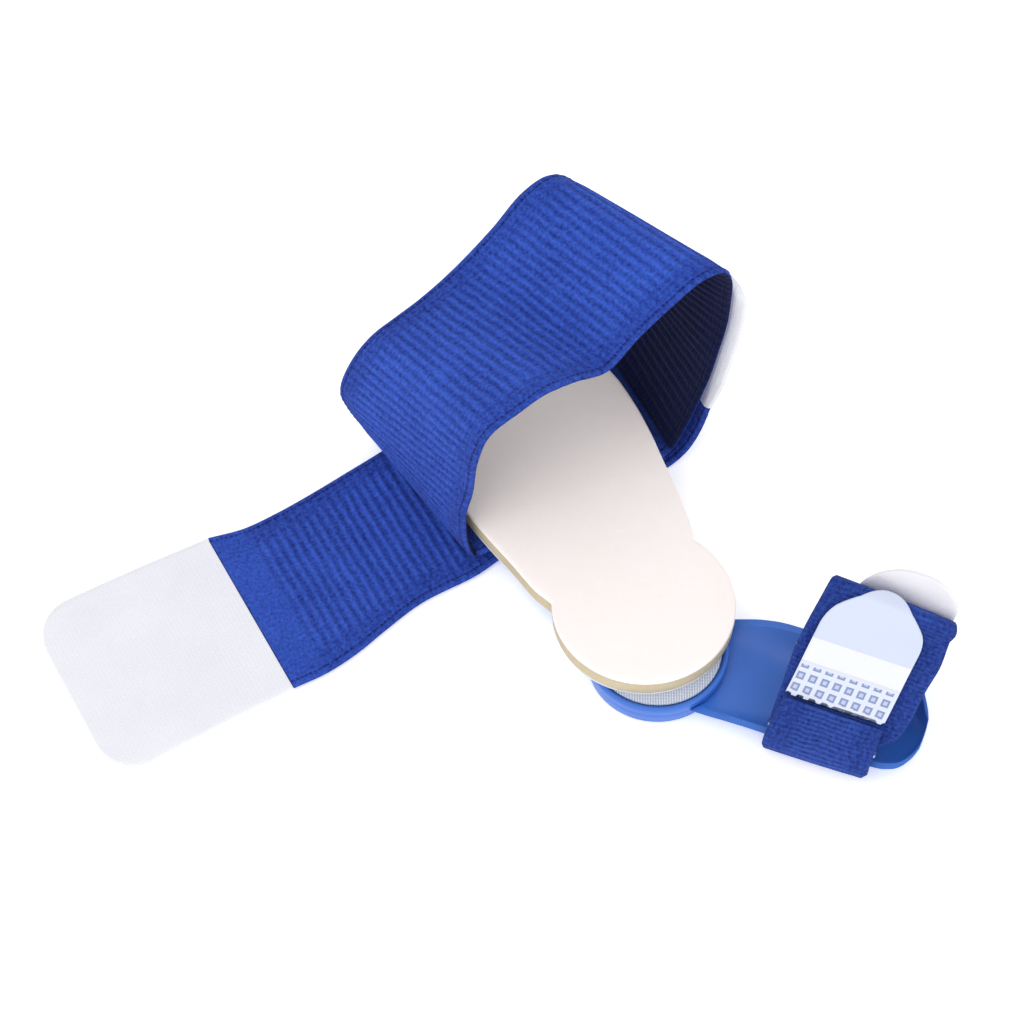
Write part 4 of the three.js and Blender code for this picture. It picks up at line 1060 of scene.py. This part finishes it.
@dataclass(frozen=True)
class ToeBar:
    """Bar beside a slot of the toe scoop, in the scoop's section."""

    sign: int
    rim: float
    outside: float

    @classmethod
    def of_side(cls, side: int) -> "ToeBar":
        """Bar of the near (-1) or far (+1) side.

        Args:
            side: -1 or +1.

        Returns:
            The bar.
        """
        table = np.array(TOE_SECTIONS)
        middle = (TOE_SLOT_START + TOE_SLOT_LENGTH / 2) / TOE_LENGTH
        half = np.interp(middle, table[:, 0], table[:, 2 if side > 0 else 1]) * TOE_WIDTH / 2
        return cls(side, TOE_RIM_FAR if side > 0 else TOE_RIM_NEAR, half)

    @property
    def edge(self) -> float:
        """Height of the bar's lower edge."""
        return self.rim - TOE_BAR_HEIGHT

    @property
    def ends(self) -> tuple[float, float]:
        """Outer and inner place of the bar's lower edge."""
        floor = 0.3 * TOE_RIM_NEAR
        outer = self.outside * (self.edge / self.rim) ** (1 / TOE_WALL_POWER)
        rise = (self.edge - floor) / (self.rim - floor)
        return outer, (self.outside - TOE_WALL) * rise ** (1 / TOE_WALL_POWER)

    @property
    def across(self) -> float:
        """Place of the bar's middle."""
        return TOE_OFFSET + self.sign * sum(self.ends) / 2

    @property
    def half(self) -> float:
        """Half thickness of the bar."""
        outer, inner = self.ends
        return (outer - inner) / 2

    def turn_rows(self, left: float, right: float) -> list[Row]:
        """Rows of the strap round the bar, from outside to inside.

        Args:
            left: share of the length of the hub-side hem.
            right: share of the length of the tip-side hem.

        Returns:
            List of rows.
        """
        radius = self.half + SEAT_GAP + BAND_HALF
        rows = []
        for degrees in (0, -30, -60, -90, -120, -150, -180):
            angle = math.radians(degrees)
            wide = radius + TOE_FOLD_BULGE if degrees > -90 else radius
            across = self.across + self.sign * wide * math.cos(angle)
            up = self.edge + SEAT_GAP + radius * math.sin(angle)
            rows.append([(left * TOE_LENGTH, across, up), (right * TOE_LENGTH, across, up)])
        return rows


def toe_rows() -> Array:
    """Rows of the toe strap, from the front tab's joint to the back tab's joint.

    Returns:
        Array (n, 2, 3).
    """
    near, far = ToeBar.of_side(-1), ToeBar.of_side(1)
    outside = (far.outside + SEAT_GAP + BAND_HALF) / TOE_WIDTH
    return np.array([
        *[toe_row(*row) for row in TOE_OUTER_FOLDS],
        *near.turn_rows(0.47, 0.848),
        *[toe_row(*row) for row in TOE_LOOP_FOLDS],
        *far.turn_rows(0.47, 0.848)[::-1],
        toe_row(outside + 0.02, far.rim / TOE_LOOP_HEIGHT, 0.49, 0.86, 0),
        toe_row(0.585, 0.35, 0.53, 0.9, 0),
        toe_row(0.594, 0.44, 0.56, 0.924, 0),
    ])


def front_tab_rows() -> Array:
    """Rows of the front toe tab on the front face.

    Returns:
        Array (n, 2, 3).
    """
    rows = np.array([toe_row(*row) for row in TOE_LOOP_FOLDS[TOE_FACE_START:]])
    ribbon = Ribbon.along(rows, 1.5)
    first = TOE_TAB_START + TAB_GAP
    held = ribbon.cut((ribbon.reach >= first) & (ribbon.reach <= first + TOE_TAB_LENGTH))
    part = np.linspace(0, 1, len(held.near))
    start = (TOE_OUTER_FOLDS[0][2] + part * TOE_TAB_LEAN) * TOE_LENGTH
    width = held.far[:, 0] - held.near[:, 0]
    low = (start - held.near[:, 0]) / width
    shares = np.stack([low, low + TOE_TAB_WIDTH / width], 1)
    return held.face(shares, -(BAND_HALF + TAB_GAP + TOE_TAB_THICKNESS / 2))


def back_tab_rows() -> Array:
    """Rows of the back toe tab, standing free.

    Returns:
        Array (n, 2, 3).
    """
    last = len(BACK_TAB_LINE) - 1
    rows = []
    for i, (across, up, drop) in enumerate(BACK_TAB_LINE):
        left = BACK_TAB_LEFT + i / last * TOE_TAB_LEAN
        rows.append(toe_row(across, up, left, left + TOE_TAB_WIDTH / TOE_LENGTH, drop))
    return np.array(rows)


def pad_outline(count: int = 150) -> Array:
    """Keyhole outline of the pad, anticlockwise.

    Args:
        count: number of points on the long body.

    Returns:
        Array (n, 2) in millimetres.
    """
    start = PAD_DISC_ALONG - PAD_DISC_RADIUS
    table = np.array(PAD_EDGES)
    right = np.stack([table[:, 2] * PAD_WIDTH, start + table[:, 0] * PAD_LENGTH], 1)
    left = np.stack([table[:, 1] * PAD_WIDTH, start + table[:, 0] * PAD_LENGTH], 1)[::-1]
    end = np.array([[PAD_DISC_ACROSS, start + PAD_LENGTH]])
    body = spline(np.vstack([right, end, left]), np.linspace(0, 1, count))
    centre = np.array([PAD_DISC_ACROSS, PAD_DISC_ALONG])
    first, last = left[-1] - centre, right[0] - centre
    a0, a1 = math.atan2(first[1], first[0]), math.atan2(last[1], last[0]) + 2 * math.pi
    angles = np.linspace(a0, a1, 90)[1:-1]
    disc = centre + PAD_DISC_RADIUS * np.stack([np.cos(angles), np.sin(angles)], 1)
    return np.vstack([body, disc])


@dataclass(frozen=True)
class PadLayer:
    """One layer of the pad: its profile is a row of (inset, height) pairs from its underside up."""

    name: str
    node: str
    base: float
    profile: tuple

    def build(self, material: Material) -> Piece:
        """Makes the layer.

        Args:
            material: material of the layer.

        Returns:
            The object.
        """
        outline = pad_outline()
        ahead = np.roll(outline, -1, 0) - np.roll(outline, 1, 0)
        inward = unit(np.stack([-ahead[:, 1], ahead[:, 0]], 1))
        for _ in range(6):
            inward = unit(inward + np.roll(inward, 1, 0) + np.roll(inward, -1, 0))
        rings = []
        for inset, height in self.profile:
            flat = outline + inward * inset
            rings.append(np.column_stack([flat, np.full(len(flat), self.base + height)]))
        return loft(self.name, np.array(rings), METATARSAL_YAW, material, None, math.radians(60))


def lathe(name: str, profile: list[tuple[float, float]], segments: int = 128) -> Piece:
    """Turned body about the hinge axis.

    Args:
        name: object name.
        profile: closed list of (radius, height) in millimetres, with radii above 0.
        segments: number of segments.

    Returns:
        The object without a material.
    """
    angle = np.linspace(0, 2 * np.pi, segments, endpoint=False)
    profile = np.asarray(profile, float)
    points = np.stack([np.cos(angle)[:, None] * profile[:, 0], np.sin(angle)[:, None] * profile[:, 0],
                       np.broadcast_to(profile[:, 1], (segments, len(profile)))], -1)
    size = len(profile)
    a = (np.arange(segments)[:, None] * size + np.arange(size)).ravel()
    b = (np.arange(segments)[:, None] * size + (np.arange(size) + 1) % size).ravel()
    around = segments * size
    faces = np.stack([a, (a + size) % around, (b + size) % around, b], 1).tolist()
    mesh = bpy.data.meshes.new(name)
    mesh.from_pydata((points.reshape(-1, 3) * MM).tolist(), [], faces)
    mesh.update()
    if signed_volume(mesh) < 0:
        mesh.flip_normals()
    piece = bpy.data.objects.new(name, mesh)
    bpy.context.scene.collection.objects.link(piece)
    return piece


def cuboid(name: str, low: Point, high: Point, yaw: float) -> Piece:
    """Plain cutter box between two corners, turned about the hinge axis.

    Args:
        name: object name.
        low: lowest corner in millimetres.
        high: highest corner in millimetres.
        yaw: turn about the hinge axis.

    Returns:
        The object.
    """
    ring = np.array([(low[0], low[1]), (high[0], low[1]), (high[0], high[1]), (low[0], high[1])])
    rings = np.array([np.column_stack([ring, np.full(4, z)]) for z in (low[2], high[2])])
    mesh = bpy.data.meshes.new(name)
    mesh.from_pydata(turn(rings.reshape(-1, 3), yaw).tolist(), [], tube_faces(2, 4))
    mesh.update()
    if signed_volume(mesh) < 0:
        mesh.flip_normals()
    piece = bpy.data.objects.new(name, mesh)
    bpy.context.scene.collection.objects.link(piece)
    return piece


def combine(base: Piece, others: list[tuple[str, Piece]]) -> Piece:
    """Joins and cuts bodies, and removes the ones that were used.

    Args:
        base: body that is kept.
        others: list of (operation, object).

    Returns:
        The base object with its new mesh.
    """
    for operation, other in others:
        modifier = base.modifiers.new("bool", "BOOLEAN")
        modifier.operation = operation
        modifier.solver = "EXACT"
        modifier.object = other
    bpy.context.view_layer.update()
    graph = bpy.context.evaluated_depsgraph_get()
    mesh = bpy.data.meshes.new_from_object(base.evaluated_get(graph))
    base.modifiers.clear()
    base.data = mesh
    for _, other in others:
        bpy.data.objects.remove(other)
    return base


def dress(piece: Piece, material: Material, sharp: float) -> Piece:
    """Gives a body its material and smooth shading.

    Args:
        piece: the object.
        material: its material.
        sharp: angle in radians above which edges stay sharp.

    Returns:
        The object.
    """
    piece.data.materials.clear()
    piece.data.materials.append(material)
    piece.data.polygons.foreach_set("use_smooth", np.ones(len(piece.data.polygons), bool))
    piece.data.set_sharp_from_angle(angle=sharp)
    return piece


def metatarsal_shell(material: Material) -> Piece:
    """Dished hub with its lip, and the arm with two slots.

    Args:
        material: plastic material.

    Returns:
        The object.
    """
    bore, counter = RIVET_RADIUS + SEAT_GAP, RIVET_HEAD_RADIUS + SEAT_GAP
    seat = HUB_DECK - RIVET_HEAD_HEIGHT - SEAT_GAP
    inside = HUB_RADIUS - HUB_LIP_WIDTH
    hub = lathe("metatarsal_shell", [
        (bore, HUB_BASE), (HUB_RADIUS - 0.5, HUB_BASE), (HUB_RADIUS - 0.15, HUB_BASE + 0.15),
        (HUB_RADIUS, HUB_BASE + 0.5), (HUB_RADIUS, LIP_TOP - 0.6), (HUB_RADIUS - 0.12, LIP_TOP - 0.3),
        (HUB_RADIUS - 0.4, LIP_TOP - 0.08), (HUB_RADIUS - 0.8, LIP_TOP), (inside + 0.4, LIP_TOP - 0.1),
        (inside + 0.12, LIP_TOP - 0.4), (inside, HUB_DECK), (counter, HUB_DECK), (counter, seat),
        (bore, seat),
    ])
    hub.data.transform(turn_matrix(METATARSAL_YAW))
    rings = []
    for along, half, drop in ARM_SECTIONS:
        base = HUB_BASE + (ARM_HEIGHT - HUB_BASE) * drop
        top = HUB_DECK - 0.05 + (ARM_HEIGHT + ARM_THICKNESS - HUB_DECK + 0.05) * drop
        w, y, c = half * ARM_WIDTH, along * ARM_LENGTH, 0.5
        rings.append([(-w + c, y, base), (w - c, y, base), (w, y, base + c), (w, y, top - c),
                      (w - c, y, top), (-w + c, y, top), (-w, y, top - c), (-w, y, base + c)])
    arm = loft("arm", np.array(rings), METATARSAL_YAW, material)
    cuts = []
    for side in (-1, 1):
        edge = ARM_WIDTH / 2 - BAR_WIDTH
        left, right = sorted((side * (edge - SLOT_WIDTH), side * edge))
        high = (right, SLOT_START + SLOT_LENGTH, 9)
        cuts.append(("DIFFERENCE", cuboid("slot", (left, SLOT_START, 0), high, METATARSAL_YAW)))
    return dress(combine(hub, [("UNION", arm), *cuts]), material, math.radians(35))


def turn_matrix(yaw: float) -> Matrix:
    """Matrix of a turn about the hinge axis.

    Args:
        yaw: angle in radians.

    Returns:
        The matrix.
    """
    return Matrix.Rotation(yaw, 4, "Z")


def toe_shell(material: Material) -> Piece:
    """Toe hub and scoop with a round tip and a slot at each side.

    Args:
        material: plastic material.

    Returns:
        The object.
    """
    hub = lathe("toe_shell", [
        (RIVET_RADIUS + SEAT_GAP, 0), (TOE_HUB_RADIUS - 1.2, 0), (TOE_HUB_RADIUS - 0.6, 0.2),
        (TOE_HUB_RADIUS - 0.3, 0.6), (TOE_HUB_RADIUS, TOE_HUB_HEIGHT - 0.5),
        (TOE_HUB_RADIUS - 0.12, TOE_HUB_HEIGHT - 0.12), (TOE_HUB_RADIUS - 0.5, TOE_HUB_HEIGHT),
        (RIVET_RADIUS + SEAT_GAP, TOE_HUB_HEIGHT),
    ])
    hub.data.transform(turn_matrix(TOE_YAW))
    table = np.array(TOE_SECTIONS)
    dense = np.unique(np.concatenate([np.linspace(0, 0.7, 46), np.linspace(0.7, 1, 44)]))
    rows = spline(table, dense)
    side = np.linspace(-1, 1, 45)
    side = np.sign(side) * np.abs(side) ** 0.62
    near = side < 0
    rings = []
    for along, wn, wf, rim, floor, lift in rows:
        half = np.where(near, wn, wf) * TOE_WIDTH / 2
        top = np.where(near, TOE_RIM_NEAR, TOE_RIM_FAR) * rim
        ring = []
        for wall, base, order in ((0.0, lift * TOE_RIM_NEAR, 1), (TOE_WALL, floor * TOE_RIM_NEAR, -1)):
            y = TOE_OFFSET + side * (half - np.minimum(wall, half * 0.35))
            z = base + (top - base) * np.abs(side) ** TOE_WALL_POWER
            ring.append(np.column_stack([np.full(len(side), along * TOE_LENGTH), y, z])[::order])
        rings.append(np.vstack(ring))
    scoop = loft("scoop", np.array(rings), TOE_YAW, material)
    clear = lathe("clear", [(0.2, TOE_HUB_HEIGHT), (HUB_RADIUS + SEAT_GAP, TOE_HUB_HEIGHT),
                            (HUB_RADIUS + SEAT_GAP, 15), (0.2, 15)])
    cuts = [("UNION", scoop), ("DIFFERENCE", clear)]
    for sign in (-1, 1):
        bar = ToeBar.of_side(sign)
        room = bar.half + 2 * (SEAT_GAP + BAND_HALF) + SEAT_GAP
        low = (TOE_SLOT_START, bar.across - room, -1)
        high = (TOE_SLOT_START + TOE_SLOT_LENGTH, bar.across + room, bar.edge)
        cuts.append(("DIFFERENCE", cuboid("slot", low, high, TOE_YAW)))
    return dress(combine(hub, cuts), material, math.radians(38))


def knit_disc(material: Material) -> Piece:
    """Knitted disc in the dish, with a soft rim.

    Args:
        material: disc material.

    Returns:
        The object.
    """
    radius = HUB_RADIUS - HUB_LIP_WIDTH - SEAT_GAP
    top = DISC_BASE + DISC_THICKNESS
    piece = lathe("knit_disc", [(0.05, DISC_BASE), (radius - 0.2, DISC_BASE), (radius, DISC_BASE + 0.25),
                                (radius - 0.05, top - 0.25), (radius - 0.4, top), (0.05, top)])
    return dress(piece, material, math.radians(60))


def hand_over(piece: Piece, node: str, body: Body) -> Piece:
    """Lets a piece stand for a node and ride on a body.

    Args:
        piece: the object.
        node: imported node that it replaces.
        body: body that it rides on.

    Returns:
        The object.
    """
    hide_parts(node)
    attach(piece, body.value)
    return piece


def build_straps() -> list[Piece]:
    """Makes both knit straps.

    Returns:
        List of objects.
    """
    # inside is the span of rows whose inner face gets painted shade; the toe strap's span lies past its rows,
    # so it gets none.
    wide = KnitBand("midfoot_band", "midfoot_strap", Body.METATARSAL, METATARSAL_YAW, MIDFOOT_RIB_PITCH,
                    smooth=8, spacing=0.42, columns=46, inside=(12.5, 34.5), seam=1.0, rib=1.0, plain_from=335)
    slim = KnitBand("toe_band", "toe_strap", Body.TOE, TOE_YAW, TOE_RIB_PITCH / 2,
                    smooth=0, spacing=0.22, columns=36, inside=(40, 41), seam=0.0, rib=0.4, plain_from=400)
    made = []
    for band, rows, knit in ((wide, midfoot_rows(), KNIT), (slim, toe_rows(), TOE_KNIT)):
        finish = replace(knit, name=knit.name + "_" + band.body.value)
        piece = band.build(rows, knit_material(finish, band.pitch, band.seam, band.plain_from))
        made.append(hand_over(piece, band.node, band.body))
    return made


def build_tabs() -> list[Piece]:
    """Makes the four hook tabs.

    Returns:
        List of objects.
    """
    white, pale, grey = tape_material(HOOK_WHITE, 1.1), grid_material(HOOK_PALE), tape_material(HOOK_GREY, 0.9)
    open_tab = TapeTab("open_tab", "midfoot_tab_open", Body.METATARSAL, METATARSAL_YAW,
                       MIDFOOT_TAB_THICKNESS, end=0.21, least=0.56, steps=40, columns=60)
    closed = TapeTab("closed_tab", "midfoot_tab_closed", Body.METATARSAL, METATARSAL_YAW,
                     MIDFOOT_TAB_THICKNESS + CLOSED_TAB_SWELL, end=0.24, least=0.56, steps=40, columns=50)
    front = TapeTab("front_tab", "toe_tab_front", Body.TOE, TOE_YAW,
                    TOE_TAB_THICKNESS, end=0.37, least=0.04, steps=40, columns=66)
    back = TapeTab("back_tab", "toe_tab_back", Body.TOE, TOE_YAW,
                   TOE_TAB_THICKNESS, end=0.48, least=0.04, steps=30, columns=40)
    return [
        hand_over(open_tab.build(open_tab_rows(), white), open_tab.node, open_tab.body),
        hand_over(closed.build(closed_tab_rows(), white), closed.node, closed.body),
        hand_over(front.build(front_tab_rows(), pale, saw=0.35), front.node, front.body),
        hand_over(back.build(back_tab_rows(), grey), back.node, back.body),
    ]


def build_pad() -> list[Piece]:
    """Makes the three layers of the pad.

    Returns:
        List of objects.
    """
    t = BACKING_THICKNESS
    backing = PadLayer("pad_lining", "pad_backing", BACKING_BASE, (
        (0.7, 0), (0.5, 0.12), (0.5, t - 0.12), (0.7, t)))
    t = FOAM_THICKNESS
    foam = PadLayer("pad_core", "pad_foam", FOAM_BASE, (
        (0.9, 0), (0.45, 0.15), (0.2, 0.7), (0.1, t * 0.5), (0.2, t - 0.7), (0.45, t - 0.15), (0.9, t)))
    t = FELT_THICKNESS
    felt = PadLayer("pad_face", "pad_felt", FELT_BASE, (
        (0.5, 0), (0.1, 0.12), (0, 0.35), (0.02, t - 0.5), (0.2, t - 0.22), (0.6, t - 0.06), (1.4, t),
        (4, t + 0.04)))
    made = []
    for layer, finish, slot, material in (
        (backing, BACKING, Slot.BACKING, speckle_material(BACKING, 0.0002, 0.4)),
        (foam, FOAM, Slot.FOAM, speckle_material(FOAM, 0.0006, 0.8)),
        (felt, FELT, Slot.FELT, speckle_material(FELT, 0.00035, 0.35, scale=40)),
    ):
        piece = hand_over(layer.build(material), layer.node, Body.METATARSAL)
        made.append(piece)
    return made


def build_splints() -> list[Piece]:
    """Makes the moulded splints, the disc and the rivet's finish.

    Returns:
        List of objects.
    """
    plastic = speckle_material(PLASTIC, 0.00003, 0.12, scale=25, radius=0.0004)
    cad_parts["hinge_rivet"].data.materials.clear()
    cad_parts["hinge_rivet"].data.materials.append(steel_material(STEEL))
    return [
        hand_over(metatarsal_shell(plastic), "metatarsal_splint", Body.METATARSAL),
        hand_over(toe_shell(plastic), "toe_splint", Body.TOE),
        hand_over(knit_disc(disc_material(MESH_DISC)), "hook_disc", Body.METATARSAL),
    ]


def build_stage() -> None:
    """Makes the floor, the lights and the camera."""
    material = Shader(FLOOR)
    material.surface.inputs["Base Color"].default_value = linear(FLOOR.colour)
    material.surface.inputs["Emission Color"].default_value = (1, 1, 1, 1)
    material.surface.inputs["Emission Strength"].default_value = FLOOR_GLOW
    corners = [(x * FLOOR_HALF, y * FLOOR_HALF, -FLOOR_DROP) for x, y in ((-1, -1), (1, -1), (1, 1), (-1, 1))]
    floor = make_object("floor", corners, [[0, 1, 2, 3]], material.material)
    world = bpy.data.worlds.new("studio")
    world.use_nodes = True
    world.node_tree.nodes["Background"].inputs[0].default_value = (1, 1, 1, 1)
    world.node_tree.nodes["Background"].inputs[1].default_value = WORLD_STRENGTH
    bpy.context.scene.world = world
    for name, place, size, power in LAMPS:
        lamp = bpy.data.lights.new(name, "AREA")
        lamp.energy = power
        lamp.size = size
        light = bpy.data.objects.new(name, lamp)
        light.location = place
        direction = -light.location.copy()
        light.rotation_euler = direction.to_track_quat("-Z", "Y").to_euler()
        bpy.context.scene.collection.objects.link(light)
    camera = bpy.data.cameras.new("camera")
    camera.lens = CAMERA_LENS
    camera.sensor_width = 36
    camera.clip_start = 0.05
    view = bpy.data.objects.new("camera", camera)
    view.location = CAMERA_PLACE
    view.rotation_euler = (CAMERA_TILT, 0, 0)
    bpy.context.scene.collection.objects.link(view)
    bpy.context.scene.camera = view
    bpy.context.scene.view_settings.view_transform = "Standard"
    bpy.context.scene.view_settings.look = "None"


def main() -> None:
    """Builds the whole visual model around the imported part."""
    logging.basicConfig(level=logging.INFO, format="%(message)s")
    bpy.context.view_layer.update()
    build_stage()
    pieces = [*build_straps(), *build_tabs(), *build_pad(), *build_splints()]
    for piece in pieces:
        piece.data.calc_loop_triangles()
        LOG.info("%s: %d triangles", piece.name, len(piece.data.loop_triangles))


if __name__ == "__main__":
    main()
